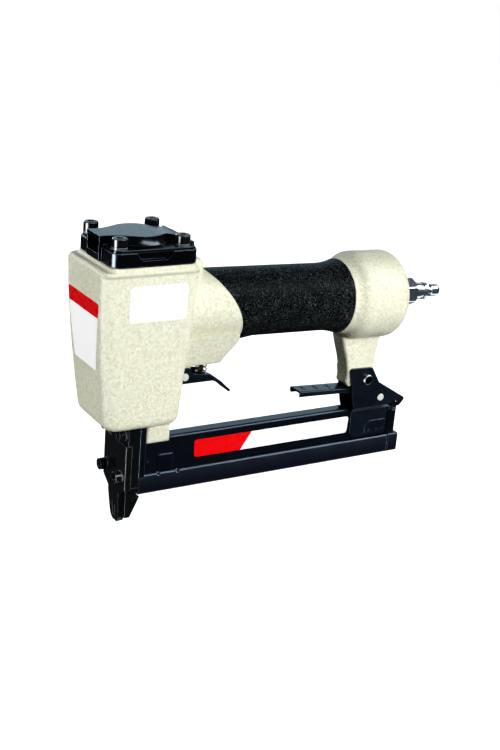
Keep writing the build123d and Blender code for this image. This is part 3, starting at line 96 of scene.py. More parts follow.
# %% [markdown]
# ## Floor
# Small tools are often photographed on a light table: a white sheet that glows by itself, so it stays
# white without a lamp overhead, and the tool's top and underside stay dark. The sheet bends up into a wall
# far behind, so no horizon shows. It could be a plane and a wall, but one profile turned round the upright
# axis has no joint and looks alike from all sides. Only the camera sees it: rays that light the tool, or
# that are mirrored in it, pass through.

# %% Floor
SHEET_RADIUS = np.array([12.0, 12.0, 11.8, 11.4, 10.8, 10.0, 9.0, 3.0])
SHEET_HEIGHT = np.array([7.0, 3.2, 2.0, 1.1, 0.5, 0.15, 0.0, 0.0])
SHEET_GAP = 0.0004
SHEET_SIDES = 96

turn = np.linspace(0.0, 2 * np.pi, SHEET_SIDES, endpoint=False)
profile = np.stack([
    SHEET_RADIUS[:, None] * np.cos(turn),
    SHEET_RADIUS[:, None] * np.sin(turn),
    np.repeat(SHEET_HEIGHT[:, None] - SHEET_GAP, SHEET_SIDES, axis=1),
], axis=-1)
inner = np.arange(SHEET_SIDES) + SHEET_SIDES * (len(profile) - 1)
sheet_faces = ring_faces(len(profile), SHEET_SIDES) + [inner.tolist()]
floor = mesh_object("floor", profile.reshape(-1, 3), sheet_faces)
floor.data.shade_smooth()
floor.visible_diffuse = False
floor.visible_glossy = False
floor.visible_shadow = False
print("floor", len(floor.data.polygons), "faces, out to", SHEET_RADIUS.max(), "m")

# %% [markdown]
# ## Lights
# Soft boxes, which are area lights, stand a little above the tool. The large one faces its side, a narrow
# one faces its front, a pale blue one behind is mirrored in the cap, and a weak one lifts the far side out
# of the dark. Seen from behind, the large box would bleach the black cap, so it lights the tool but isn't
# mirrored. A long strip higher up is only mirrored, and draws the bright lines along folds, rings and rims.

# %% Lights
MIDDLE = Vector((0.09, 0.0, 0.10))
PALE_BLUE = (0.68, 0.87, 1.0)


def soft_box(name, place, size, power):
    """An area light of a width and height, in metres, whose -Z axis points to the tool's middle."""
    lamp = bpy.data.lights.new(name, "AREA")
    lamp.shape = "RECTANGLE"
    lamp.size, lamp.size_y = size
    lamp.energy = power
    box = bpy.data.objects.new(name, lamp)
    facing = (MIDDLE - Vector(place)).to_track_quat("-Z", "Y")
    box.matrix_world = Matrix.Translation(place) @ facing.to_matrix().to_4x4()
    bpy.context.scene.collection.objects.link(box)
    return box


side_box = soft_box("side_box", place=(0.40, -0.97, 0.46), size=(0.9, 0.9), power=19.2)
side_box.visible_glossy = False
strip_box = soft_box("strip_box", place=(0.70, -0.74, 0.97), size=(2.0, 0.5), power=25.0)
strip_box.visible_diffuse = False
soft_box("front_box", place=(-1.25, -0.04, 0.24), size=(0.30, 0.6), power=11.6)
back_box = soft_box("back_box", place=(0.85, 1.25, 0.70), size=(1.2, 1.0), power=3.2)
back_box.data.color = PALE_BLUE
soft_box("far_box", place=(-0.15, 1.30, 0.45), size=(0.7, 0.7), power=9.0)

# %% [markdown]
# ## Tools for nodes
# The room and the finishes are made of nodes, which are small steps whose sockets are joined from output
# to input. Written out, each node takes several lines, so four helpers do what repeats: one adds a node
# with its values, one joins two sockets, one makes a colour ramp, and one turns a span of values into 0 to
# 1. A room and a material both have a node tree, so the helpers take either.


# %% Tools for nodes
def add(owner, kind, **values):
    """Add a node of a kind, with each value set on the input, or else the setting, of that name."""
    node = owner.node_tree.nodes.new(kind)
    for key, value in values.items():
        label = key.replace("_", " ").title()
        if label in node.inputs:
            node.inputs[label].default_value = value
        else:
            setattr(node, key, value)
    return node


def join(owner, source, target):
    """Link an output socket to an input socket."""
    owner.node_tree.links.new(source, target)


def ramp(owner, factor, *stops):
    """A colour ramp on a factor; each stop is a place from 0 to 1 and a grey or an RGB colour."""
    node = add(owner, "ShaderNodeValToRGB")
    bands = node.color_ramp.elements
    while len(bands) < len(stops):
        bands.new(0.5)
    for band, (where, tone) in zip(bands, stops):
        band.position = where
        band.color = (*tone, 1.0) if isinstance(tone, tuple) else (tone, tone, tone, 1.0)
    join(owner, factor, node.inputs["Fac"])
    return node.outputs["Color"]


def rise_between(owner, value, low, high):
    """0 where a value is under the low limit, 1 where it is over the high one, and a slope between them."""
    node = add(owner, "ShaderNodeMapRange", from_min=low, from_max=high)
    join(owner, value, node.inputs["Value"])
    return node.outputs["Result"]


print("node tools", [tool.__name__ for tool in (add, join, ramp, rise_between)])

# %% [markdown]
# ## Room
# Gloss shows the room, so the room is a gradient by height: dark below, and palest a little over the
# horizon. The direction that a world is looked up in runs from -1, straight down, to 1, straight up, and
# the ramp wants 0 to 1. Two white cards lie low. The bright one in front stands in the upright corners of
# the cap and in the screws as white streaks. The other is under the tail, and whitens the lower half of
# the plug. Each is a cone round one direction, which a dot product finds. The room shows in gloss only:
# if it also lit the paint, it would fill the shadows that give the casting its form.

# %% Room
HEIGHTS = (
    (0.00, (0.08, 0.09, 0.10)),
    (0.48, (0.08, 0.09, 0.10)),
    (0.58, (0.13, 0.15, 0.17)),
    (1.00, (0.10, 0.11, 0.13)),
)
CARDS = (((-0.935, -0.060, -0.347), 26.0), ((0.502, -0.100, -0.859), 1.2))
CARD_EDGE = 0.940
CARD_FULL = 0.965
CARD_WHITE = (0.93, 0.97, 1.0)

room = bpy.data.worlds.new("room")
room.use_nodes = True
sky = room.node_tree.nodes
toward = add(room, "ShaderNodeTexCoord").outputs["Generated"]
parts = add(room, "ShaderNodeSeparateXYZ")
join(room, toward, parts.inputs["Vector"])
rise = rise_between(room, parts.outputs["Z"], -1.0, 1.0)
join(room, ramp(room, rise, *HEIGHTS), sky["Background"].inputs["Color"])
glow = sky["Background"].outputs["Background"]
for middle, strength in CARDS:
    near_card = add(room, "ShaderNodeVectorMath", operation="DOT_PRODUCT")
    near_card.inputs[1].default_value = middle
    join(room, toward, near_card.inputs[0])
    card = add(room, "ShaderNodeBackground", strength=strength)
    cone = ramp(room, near_card.outputs["Value"], (CARD_EDGE, 0.0), (CARD_FULL, CARD_WHITE))
    join(room, cone, card.inputs["Color"])
    both = add(room, "ShaderNodeAddShader")
    join(room, glow, both.inputs[0])
    join(room, card.outputs["Background"], both.inputs[1])
    glow = both.outputs["Shader"]
join(room, glow, sky["World Output"].inputs["Surface"])
bpy.context.scene.world = room
room.cycles_visibility.diffuse = False
print("room nodes", len(sky))

# %% [markdown]
# ## Levels
# A catalogue picture is printed with hard levels, so its blacks are deep and its whites are bare paper.
# The view's curve does the same to the render: it pulls down the darkest tenth most, eases off towards
# the middle and leaves the brighter half as it is.

# %% Levels
LEVELS = ((0.03, 0.010), (0.10, 0.070), (0.25, 0.235), (0.50, 0.50))
ALL_COLOURS = 3

view = bpy.context.scene.view_settings
view.view_transform = "Standard"
view.use_curve_mapping = True
curve = view.curve_mapping.curves[ALL_COLOURS]
for scene_tone, print_tone in LEVELS:
    curve.points.new(scene_tone, print_tone)
view.curve_mapping.update()
print("levels", [tuple(round(value, 3) for value in point.location) for point in curve.points])

# %% [markdown]
# ## Tools for finishes
# Every finish below is made of nodes that read Object coordinates, which are metres on the tool itself,
# so a scale of 1000 means about one feature to the millimetre. A few helpers keep each finish short: the
# three coordinates, a noise texture, a bump, a mix of two colours and a Bevel node. The Bevel node rounds
# sharp edges in the shader, and where its normal leaves the face's own normal there is an edge, which is
# where paint and oxide wear through first, and where some finishes paint a highlight. A Mix node keeps
# sockets for every kind of value under the same names, so its colour sockets are picked by number.

# %% Coordinates and textures
EVEN = (1.0, 1.0, 1.0)


def new_finish(name):
    """A node material with one Principled shader; returns the material and that shader."""
    material = bpy.data.materials.new(name)
    material.use_nodes = True
    return material, material.node_tree.nodes["Principled BSDF"]


def coordinates(material):
    """The sockets of the three Object coordinates, in metres."""
    place = add(material, "ShaderNodeTexCoord")
    split = add(material, "ShaderNodeSeparateXYZ")
    join(material, place.outputs["Object"], split.inputs["Vector"])
    return split.outputs


def grain(material, scale, detail, stretch=EVEN, **more):
    """A noise texture on Object coordinates; stretch divides the feature size on each axis."""
    place = add(material, "ShaderNodeTexCoord")
    mapping = add(material, "ShaderNodeMapping", scale=stretch)
    texture = add(material, "ShaderNodeTexNoise", scale=scale, detail=detail, **more)
    join(material, place.outputs["Object"], mapping.inputs["Vector"])
    join(material, mapping.outputs["Vector"], texture.inputs["Vector"])
    return texture.outputs["Fac"]


def bump(material, height, depth, strength, under=None):
    """A bump of the given depth in metres, on top of another normal if one is given."""
    node = add(material, "ShaderNodeBump", strength=strength, distance=depth)
    join(material, height, node.inputs["Height"])
    if under is not None:
        join(material, under, node.inputs["Normal"])
    return node.outputs["Normal"]


print("texture tools", [tool.__name__ for tool in (new_finish, coordinates, grain, bump)])

# %% Edges and colours
BEVEL_SAMPLES = 4
EDGE_MASK_FULL = 0.86
EDGE_MASK_NONE = 0.985
MIX_FACTOR, MIX_FIRST, MIX_SECOND, MIX_RESULT = 0, 6, 7, 2


def rounded(material, radius):
    """A normal that rounds sharp edges by the radius, in metres."""
    return add(material, "ShaderNodeBevel", samples=BEVEL_SAMPLES, radius=radius).outputs["Normal"]


def edge_wear_and_highlight(material, radius):
    """1 on sharp edges and 0 on faces, from the dot product of the rounded and the true normal; it marks
    wear and painted edge highlights.
    """
    face = add(material, "ShaderNodeNewGeometry")
    dot = add(material, "ShaderNodeVectorMath", operation="DOT_PRODUCT")
    join(material, rounded(material, radius), dot.inputs[0])
    join(material, face.outputs["True Normal"], dot.inputs[1])
    return ramp(material, dot.outputs["Value"], (EDGE_MASK_FULL, 1.0), (EDGE_MASK_NONE, 0.0))


def blend(material, factor, first, second):
    """Mix of two colour sockets or plain colours by a factor socket."""
    node = add(material, "ShaderNodeMix", data_type="RGBA")
    join(material, factor, node.inputs[MIX_FACTOR])
    for socket, tone in ((node.inputs[MIX_FIRST], first), (node.inputs[MIX_SECOND], second)):
        if isinstance(tone, tuple):
            socket.default_value = (*tone, 1.0)
        else:
            join(material, tone, socket)
    return node.outputs[MIX_RESULT]


def dress(material, *names):
    """Give a finish to CAD nodes, in place of the plain material that they came with."""
    for name in names:
        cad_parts[name].data.materials.clear()
        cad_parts[name].data.materials.append(material)
    print(material.name, "on", ", ".join(names))


print("edge and colour tools", [tool.__name__ for tool in (rounded, edge_wear_and_highlight, blend, dress)])

# %% [markdown]
# ## Floor finish
# The sheet of the light table is matt white and glows. A sheet that only lamps light would turn grey in
# the tool's shadow, and the photograph has none, so the glow is emission as bright as paper. A faint noise
# in the colour stands for the paper's own tone, which the glow all but hides.

# %% Floor finish
light_table, shader = new_finish("light_table")
paper = ramp(light_table, grain(light_table, scale=3.0, detail=3.0), (0.3, 0.48), (0.7, 0.52))
join(light_table, paper, shader.inputs["Base Color"])
shader.inputs["Roughness"].default_value = 0.9
shader.inputs["Specular IOR Level"].default_value = 0.1
shader.inputs["Emission Color"].default_value = (1.0, 1.0, 1.0, 1.0)
shader.inputs["Emission Strength"].default_value = 1.0
floor.data.materials.append(light_table)
print(light_table.name, "on", floor.name)

# %% [markdown]
# ## Painted shade in the crease under the rim
# Along both sides of the head, the crease under the cap's rim lies in shade, and that shade is painted into
# the paint's colour as a darker olive band. Cutting the crease into the mesh would need a new solid, and
# only its colour shows, so a ramp on height peaks there. The front has no such line, so the band fades out
# towards the middle of the tool.

# %% Painted shade in the crease under the rim
CREASE_LOW = 0.1586
CREASE_HIGH = 0.1611
CREASE_SHADE_SHARE = 0.85
FRONT_CORNER = 0.0222
HEAD_SIDE = 0.0255


def crease(material):
    """A share of painted shade that peaks in a band of heights on the head's two sides, and is 0 elsewhere.
    """
    _, y, z = coordinates(material)
    width = add(material, "ShaderNodeMath", operation="ABSOLUTE")
    both = add(material, "ShaderNodeMath", operation="MULTIPLY")
    level = rise_between(material, z, CREASE_LOW, CREASE_HIGH)
    join(material, y, width.inputs[0])
    on_side = rise_between(material, width.outputs["Value"], FRONT_CORNER, HEAD_SIDE)
    band = ramp(material, level, (0.0, 0.0), (0.5, CREASE_SHADE_SHARE), (1.0, 0.0))
    join(material, band, both.inputs[0])
    join(material, on_side, both.inputs[1])
    return both.outputs["Value"]


print("crease from", CREASE_LOW, "to", CREASE_HIGH)

# %% [markdown]
# ## Hammered cream paint
# The casting has a thick champagne paint that shrinks into fine wrinkles as it dries, about a millimetre
# apart. Paint runs thin in the wrinkles, so one noise drives both the olive tint and the bump. A slow
# noise varies how strong they are. The clear coat on top is smoother than the paint below it and mirrors
# the lights, so it takes its own normal, with fainter wrinkles.

# %% Hammered cream paint
# The olive grey below is painted shade for the crease under the rim.
CREASE_SHADE_TONE = (0.34, 0.335, 0.235)
THIN, MIDDLING, THICK = (0.62, 0.61, 0.435), (0.745, 0.745, 0.575), (0.825, 0.835, 0.68)
PLAIN_DARK, PLAIN_PALE = (0.74, 0.74, 0.57), (0.795, 0.80, 0.645)

cream, shader = new_finish("hammered_cream")
wrinkle = grain(cream, scale=560.0, detail=3.0, roughness=0.62, distortion=0.7)
drift = grain(cream, scale=75.0, detail=3.0)
paint = ramp(cream, wrinkle, (0.37, THIN), (0.50, MIDDLING), (0.63, THICK))
plain = ramp(cream, drift, (0.3, PLAIN_DARK), (0.7, PLAIN_PALE))
clean = blend(cream, ramp(cream, drift, (0.35, 0.5), (0.65, 0.0)), paint, plain)
# The crease band blends painted shade into the paint's colour.
join(cream, blend(cream, crease(cream), clean, CREASE_SHADE_TONE), shader.inputs["Base Color"])
join(cream, ramp(cream, drift, (0.3, 0.36), (0.7, 0.50)), shader.inputs["Roughness"])
shader.inputs["Specular IOR Level"].default_value = 0.25
shader.inputs["Coat Weight"].default_value = 0.15
shader.inputs["Coat Roughness"].default_value = 0.16
soft_edges = rounded(cream, 0.0025)
paint_bump = bump(cream, wrinkle, depth=0.0014, strength=0.6, under=soft_edges)
coat_bump = bump(cream, wrinkle, depth=0.0004, strength=0.4, under=soft_edges)
join(cream, paint_bump, shader.inputs["Normal"])
join(cream, coat_bump, shader.inputs["Coat Normal"])
dress(cream, "housing")

# %% [markdown]
# ## Wrinkled grip rubber
# The sleeve is soft black rubber moulded with a leather-like wrinkle. A ramp that peaks where the noise
# passes one half draws thin worm-like crests, as contour lines do on a map, with hollows between them.
# The bump turns the crests to catch the soft boxes as short bright threads, and the crests are also painted
# paler than the hollows, a painted sheen. A coarse noise varies how deep the mould pressed.

# %% Wrinkled grip rubber
# The crests are painted paler than the hollows: a painted sheen.
HOLLOW, CREST_WITH_PAINTED_SHEEN = (0.0020, 0.0024, 0.0026), (0.115, 0.145, 0.150)
SHALLOW = (0.3, 0.3, 0.3)

rubber, shader = new_finish("wrinkled_rubber")
folds = grain(rubber, scale=640.0, detail=1.5, distortion=0.6)
press = grain(rubber, scale=90.0, detail=2.0)
crests = ramp(rubber, folds, (0.41, 0.0), (0.50, 1.0), (0.59, 0.0))
pressed = ramp(rubber, press, (0.45, 0.0), (0.80, 0.35))
height = blend(rubber, pressed, crests, SHALLOW)
join(rubber, ramp(rubber, height, (0.55, HOLLOW), (1.0, CREST_WITH_PAINTED_SHEEN)), shader.inputs["Base Color"])
join(rubber, ramp(rubber, height, (0.2, 0.42), (0.9, 0.27)), shader.inputs["Roughness"])
shader.inputs["Specular IOR Level"].default_value = 0.12
join(rubber, bump(rubber, height, depth=0.0005, strength=0.8), shader.inputs["Normal"])
dress(rubber, "grip_sleeve")

# %% [markdown]
# ## Black cap
# The cap is die-cast and finished in a smooth semi-gloss black that mirrors the lights and the room's
# cards. A faint orange peel keeps the mirror from being perfect. Its edges are painted paler and bluish,
# partly as rubbed paint and partly as a painted highlight along each rim.

# %% Black cap
# The second tone is rubbed paint and a painted edge highlight.
CAP_BLACK, CAP_RUBBED_AND_HIGHLIGHT = (0.003, 0.0035, 0.005), (0.13, 0.155, 0.20)
CAP_EDGE = 0.0005

cap_black, shader = new_finish("cap_black")
peel = grain(cap_black, scale=420.0, detail=2.0)
rubbed_and_lit_edges = edge_wear_and_highlight(cap_black, CAP_EDGE)
join(cap_black, blend(cap_black, rubbed_and_lit_edges, CAP_BLACK, CAP_RUBBED_AND_HIGHLIGHT), shader.inputs["Base Color"])
join(cap_black, ramp(cap_black, peel, (0.3, 0.18), (0.7, 0.26)), shader.inputs["Roughness"])
shader.inputs["Specular IOR Level"].default_value = 0.5
shader.inputs["Specular Tint"].default_value = (0.82, 0.93, 1.0, 1.0)
cap_bump = bump(cap_black, peel, depth=0.00002, strength=0.2, under=rounded(cap_black, CAP_EDGE))
join(cap_black, cap_bump, shader.inputs["Normal"])
dress(cap_black, "head_cap")

# %% [markdown]
# ## Blued sheet steel
# The magazine, brackets, lever and trigger are folded from sheet and blued. Rolled sheet has a fine grain
# along its length, so the noise is stretched along X. Bluing rubs off first along folds and cut edges,
# where bare steel shines through, and on the slide that pale edge tone is bright enough to be a painted
# highlight as well. The slide and its clip also carry painted shade: their colour turns darker from the top
# edge towards the bottom, where their reflection fades, so a second tone comes in with height.

# %% Blued sheet steel
ROLLED = (0.02, 1.0, 1.0)
CUT_EDGE = 0.00045
BLUE_TINT = (0.66, 0.83, 1.0, 1.0)
SLIDE_LOW = 0.0195
SLIDE_HIGH = 0.0305


def blued_steel(name, deep, pale, bare, rough, shine, fold, shaded_foot=None):
    """Blued sheet: rolling grain along X in the gloss, clouds in the bluing, and a paler tone at the edges,
    which is bare steel and, where it is bright, also a painted highlight.

    Where a darker tone for the bottom is given, it is painted shade, which fades into the bluing from the
    slide's bottom to its top.
    """
    material, shader = new_finish(name)
    roll = grain(material, scale=1400.0, detail=3.0, stretch=ROLLED)
    cloud = grain(material, scale=60.0, detail=3.0)
    oxide = ramp(material, cloud, (0.3, deep), (0.7, pale))
    if shaded_foot is not None:
        _, _, z = coordinates(material)
        # Painted shade: the colour darkens towards the slide's bottom edge.
        oxide = blend(material, rise_between(material, z, SLIDE_LOW, SLIDE_HIGH), shaded_foot, oxide)
    worn = blend(material, edge_wear_and_highlight(material, CUT_EDGE), oxide, bare)
    gloss = ramp(material, roll, (0.3, rough), (0.7, rough + 0.08))
    join(material, worn, shader.inputs["Base Color"])
    join(material, gloss, shader.inputs["Roughness"])
    shader.inputs["Specular IOR Level"].default_value = shine
    shader.inputs["Specular Tint"].default_value = BLUE_TINT
    rolled = bump(material, roll, depth=0.00001, strength=0.3, under=rounded(material, fold))
    join(material, rolled, shader.inputs["Normal"])
    return material


print("slide's tones from", SLIDE_LOW, "to", SLIDE_HIGH)

# %% Blued pieces
RUBBED = (0.08, 0.09, 0.115)
# The pale blue edge tone below is worn steel and also a painted highlight along the slide's folds.
SHINY_WEAR_AND_HIGHLIGHT = (0.42, 0.50, 0.62)
# The darker tone below is painted shade at the bottom of the slide and its clip.
SLIDE_FOOT_SHADE = (0.0105, 0.011, 0.018)

blued_slide = blued_steel("blued_slide", deep=(0.021, 0.024, 0.032), pale=(0.027, 0.031, 0.044),
                          bare=SHINY_WEAR_AND_HIGHLIGHT, rough=0.10, shine=1.0, fold=0.0014, shaded_foot=SLIDE_FOOT_SHADE)
blued_clip = blued_steel("blued_clip", deep=(0.017, 0.020, 0.027), pale=(0.022, 0.026, 0.035),
                         bare=RUBBED, rough=0.20, shine=0.6, fold=0.0012, shaded_foot=SLIDE_FOOT_SHADE)
blued_lever = blued_steel("blued_lever", deep=(0.010, 0.014, 0.019), pale=(0.016, 0.021, 0.028),
                          bare=RUBBED, rough=0.18, shine=0.45, fold=0.0008)
blued_black = blued_steel("blued_black", deep=(0.006, 0.008, 0.012), pale=(0.010, 0.012, 0.017),
                          bare=RUBBED, rough=0.18, shine=0.60, fold=0.0012)
dress(blued_slide, "magazine_slide")
dress(blued_clip, "slide_end_clip")
dress(blued_lever, "bracket_left", "bracket_right", "latch_lever", "trigger")
dress(blued_black, "fixed_magazine", "catch_plate")

# %% [markdown]
# ## Black oxide steel
# Screws, washers and the nose are machined steel with a thin black oxide. It is darker and duller than the
# bluing, with small grey scuffs. Spanners and keys rub the rims of the screws bare, and the spring washers
# are scraped grey when they are tightened. The screws' pale rims are also a painted highlight.


# %% Black oxide steel
def oxide_steel(name, deep, pale, bare, rim):
    """Black oxide: fine scuffs in colour, gloss and bump, and edges of the radius rim rubbed bare, which on
    the screws is also a painted highlight.
    """
    material, shader = new_finish(name)
    scuff = grain(material, scale=700.0, detail=4.0)
    base = ramp(material, scuff, (0.35, deep), (0.75, pale))
    join(material, blend(material, edge_wear_and_highlight(material, rim), base, bare), shader.inputs["Base Color"])
    join(material, ramp(material, scuff, (0.3, 0.16), (0.7, 0.26)), shader.inputs["Roughness"])
    scuffed = bump(material, scuff, depth=0.00004, strength=0.35, under=rounded(material, rim))
    join(material, scuffed, shader.inputs["Normal"])
    return material


black_oxide = oxide_steel("black_oxide", deep=(0.007, 0.008, 0.009), pale=(0.015, 0.017, 0.018),
                          bare=(0.06, 0.064, 0.07), rim=0.00045)
# The screws' pale rim tone is worn steel and a painted highlight.
screw_oxide = oxide_steel("screw_oxide", deep=(0.006, 0.007, 0.008), pale=(0.016, 0.018, 0.020),
                          bare=(0.30, 0.33, 0.36), rim=0.0004)
washer_oxide = oxide_steel("washer_oxide", deep=(0.05, 0.06, 0.065), pale=(0.12, 0.14, 0.15),
                           bare=(0.40, 0.43, 0.45), rim=0.0003)
dress(black_oxide, "nose_plate", "driver_guide", "bracket_nut")
dress(screw_oxide, "cap_screws", "nose_screws")
dress(washer_oxide, "cap_washers", "nose_washers")

# %% [markdown]
# ## Bright metals
# The plug is chromed, the pins of lever and trigger are zinc plated, the valve is brass, and inside are
# aluminium, ground steel and drawn wire. Turning on a lathe leaves rings across the axis. Noise stretched
# thin along the axis and wide around it gives such rings in the roughness, where they show best, and the
# same noise serves for the marks of grinding and drawing.

# %% Turned metal
ALONG_X = (1.0, 0.02, 0.02)
ALONG_Y = (0.02, 1.0, 0.02)
ALONG_Z = (0.02, 0.02, 1.0)
BROKEN_EDGE = 0.0003
RING_DEPTH = 0.00003
RING_STRENGTH = 0.25


def turned_metal(name, dark, light, rough, stretch, metal=1.0):
    """A metal with lathe rings: noise squeezed along the turning axis drives roughness and a faint bump."""
    material, shader = new_finish(name)
    rings = grain(material, scale=1600.0, detail=2.0, stretch=stretch)
    tarnish = grain(material, scale=120.0, detail=3.0)
    join(material, ramp(material, tarnish, (0.3, dark), (0.7, light)), shader.inputs["Base Color"])
    join(material, ramp(material, rings, (0.3, rough), (0.7, rough + 0.12)), shader.inputs["Roughness"])
    shader.inputs["Metallic"].default_value = metal
    ringed = bump(material, rings, RING_DEPTH, RING_STRENGTH, rounded(material, BROKEN_EDGE))
    join(material, ringed, shader.inputs["Normal"])
    return material


print("edges broken by", BROKEN_EDGE)

# %% Bright metals
chrome = turned_metal("chrome", dark=(0.70, 0.74, 0.78), light=(0.86, 0.90, 0.93), rough=0.12,
                      stretch=ALONG_X)
zinc_plate = turned_metal("zinc_plate", dark=(0.72, 0.71, 0.68), light=(0.88, 0.87, 0.84), rough=0.30,
                          stretch=ALONG_Y, metal=0.35)
turned_brass = turned_metal("turned_brass", dark=(0.55, 0.38, 0.13), light=(0.72, 0.54, 0.24), rough=0.22,
                            stretch=ALONG_Z)
turned_alloy = turned_metal("turned_alloy", dark=(0.58, 0.58, 0.60), light=(0.72, 0.72, 0.74), rough=0.26,
                            stretch=ALONG_Z)
ground_steel = turned_metal("ground_steel", dark=(0.40, 0.40, 0.42), light=(0.58, 0.58, 0.60), rough=0.22,
                            stretch=ALONG_Z)
drawn_wire = turned_metal("drawn_wire", dark=(0.26, 0.26, 0.27), light=(0.42, 0.42, 0.43), rough=0.26,
                          stretch=ALONG_Z)
dress(chrome, "air_plug")
dress(zinc_plate, "lever_pin", "trigger_pin")
dress(turned_brass, "valve_guide", "valve_stem")
dress(turned_alloy, "cylinder", "piston", "head_valve")
dress(ground_steel, "driver_blade", "driver_pin", "staple_rail", "catch_pin", "pusher")
dress(drawn_wire, "trigger_spring", "lever_spring", "head_valve_spring", "valve_spring", "pusher_spring")

# %% [markdown]
# ## Bracket bolt
# The bolt's head is zinc plated too, but its socket is deep, and its shade is painted into the colour, so
# it shows as a dark spot with a bright ring round it. The distance from the bolt's own axis parts the two.

# %% Bracket bolt
BOLT_PLACE = (0.1665, 0.0, 0.0731)
ACROSS_BOLT = (1.0, 0.0, 1.0)
SOCKET_RADIUS = 0.0023
RING_RADIUS = 0.0027
# The dark tone below is painted shade in the socket.
SOCKET_SHADE, BOLT_ZINC = (0.02, 0.023, 0.025), (0.42, 0.46, 0.48)

bolt_zinc, shader = new_finish("bolt_zinc")
place = add(bolt_zinc, "ShaderNodeTexCoord")
shift = add(bolt_zinc, "ShaderNodeVectorMath", operation="SUBTRACT")
flatten = add(bolt_zinc, "ShaderNodeVectorMath", operation="MULTIPLY")
reach = add(bolt_zinc, "ShaderNodeVectorMath", operation="LENGTH")
shift.inputs[1].default_value = BOLT_PLACE
flatten.inputs[1].default_value = ACROSS_BOLT
join(bolt_zinc, place.outputs["Object"], shift.inputs[0])
join(bolt_zinc, shift.outputs["Vector"], flatten.inputs[0])
join(bolt_zinc, flatten.outputs["Vector"], reach.inputs[0])
ring = rise_between(bolt_zinc, reach.outputs["Value"], SOCKET_RADIUS, RING_RADIUS)
turning = grain(bolt_zinc, scale=1600.0, detail=2.0, stretch=ALONG_Y)
join(bolt_zinc, blend(bolt_zinc, ring, SOCKET_SHADE, BOLT_ZINC), shader.inputs["Base Color"])
join(bolt_zinc, ramp(bolt_zinc, turning, (0.3, 0.22), (0.7, 0.36)), shader.inputs["Roughness"])
shader.inputs["Metallic"].default_value = 1.0
bolt_bump = bump(bolt_zinc, turning, RING_DEPTH, RING_STRENGTH, rounded(bolt_zinc, BROKEN_EDGE))
join(bolt_zinc, bolt_bump, shader.inputs["Normal"])
dress(bolt_zinc, "bracket_bolt")

# %% [markdown]
# ## Seals
# The rings and the gasket are black nitrile, and the bumper is amber polyurethane. They hide inside, but
# the library shows the tool taken apart, so they get a finish too: a faint moulding mottle.


# %% Seals
def moulded(name, dark, light, rough):
    """A soft moulded material: slow noise mottles its colour, and finer noise its roughness and bump."""
    material, shader = new_finish(name)
    mottle = grain(material, scale=220.0, detail=3.0)
    dust = grain(material, scale=1500.0, detail=2.0)
    join(material, ramp(material, mottle, (0.3, dark), (0.7, light)), shader.inputs["Base Color"])
    join(material, ramp(material, dust, (0.3, rough), (0.7, rough + 0.15)), shader.inputs["Roughness"])
    join(material, bump(material, dust, depth=0.00003, strength=0.3), shader.inputs["Normal"])
    return material


nitrile = moulded("nitrile", dark=(0.010, 0.010, 0.011), light=(0.022, 0.022, 0.023), rough=0.45)
polyurethane = moulded("polyurethane", dark=(0.30, 0.19, 0.05), light=(0.42, 0.28, 0.09), rough=0.35)
dress(nitrile, "cap_gasket", "cylinder_o_rings", "piston_o_ring")
dress(polyurethane, "bumper")

# %% [markdown]
# ## Stickers
# The tool carries three plain stickers. A sticker is a thin sheet with rounded corners that lies on a
# surface, so its outline is a rounded rectangle, filled by rings that shrink to its middle, and every
# point is then carried onto the surface it is stuck to. A flat card hovering over the casting would show a
# gap at the corners, where the casting curves away.

# %% Rounded outline
ARC_POINTS = 9


def rounded_outline(width, height, radius, count):
    """Points spread evenly round a rectangle whose corners are quarter circles of the radius."""
    quarter = np.linspace(0.0, np.pi / 2, ARC_POINTS)
    arc = radius * np.stack([np.cos(quarter), np.sin(quarter)], axis=1)
    inset = [width / 2 - radius, height / 2 - radius]
    middles = np.array([[1, 1], [-1, 1], [-1, -1], [1, -1]]) * inset
    turns = np.array([[[1, 0], [0, 1]], [[0, 1], [-1, 0]], [[-1, 0], [0, -1]], [[0, -1], [1, 0]]])
    loop = (np.einsum("ki,cij->ckj", arc, turns) + middles[:, None]).reshape(-1, 2)
    loop = np.vstack([loop, loop[:1]])
    run = np.concatenate([[0.0], np.cumsum(np.linalg.norm(np.diff(loop, axis=0), axis=1))])
    even = np.linspace(0.0, run[-1], count, endpoint=False)
    return np.stack([np.interp(even, run, loop[:, axis]) for axis in (0, 1)], axis=1)


print("half size of a 4 x 2 outline", rounded_outline(4.0, 2.0, 0.5, 64).max(axis=0).round(2))

# %% [markdown]
# ## Closed shells
# A sticker is closed above, below and round its edge, because a sheet without thickness has no inside and
# gives odd shadows. Its rings run from the middle of its face, over the edge, to the middle of its back,
# and a point in the middle of each end ring closes it.


# %% Closed shells
def capped_shell(name, rings):
    """A closed mesh from rings (rows x count x 3), with a point in the middle of each end ring."""
    rows, count, _ = rings.shape
    ends = np.stack([rings[0].mean(axis=0), rings[-1].mean(axis=0)])
    points = np.vstack([rings.reshape(-1, 3), ends])
    first_end, last_end = rows * count, rows * count + 1
    last_row = (rows - 1) * count
    step = np.arange(count)
    after = (step + 1) % count
    first = np.stack([after, step, np.full(count, first_end)], axis=1)
    last = np.stack([step + last_row, after + last_row, np.full(count, last_end)], axis=1)
    return mesh_object(name, points, ring_faces(rows, count) + first.tolist() + last.tolist())


print("a shell of 12 rings of 160 points has", len(ring_faces(12, 160)) + 2 * 160, "faces")

# %% [markdown]
# ## Surfaces that carry stickers
# The head was lofted through four sections, whose heights, fronts, widths and corners are below in
# millimetres. A cubic through the four gives the front and the side at any height, and the corner's
# quarter circle falls back from the front. Measuring the mesh would do too, but four sections are exact
# and short. The magazine's wall is flat.

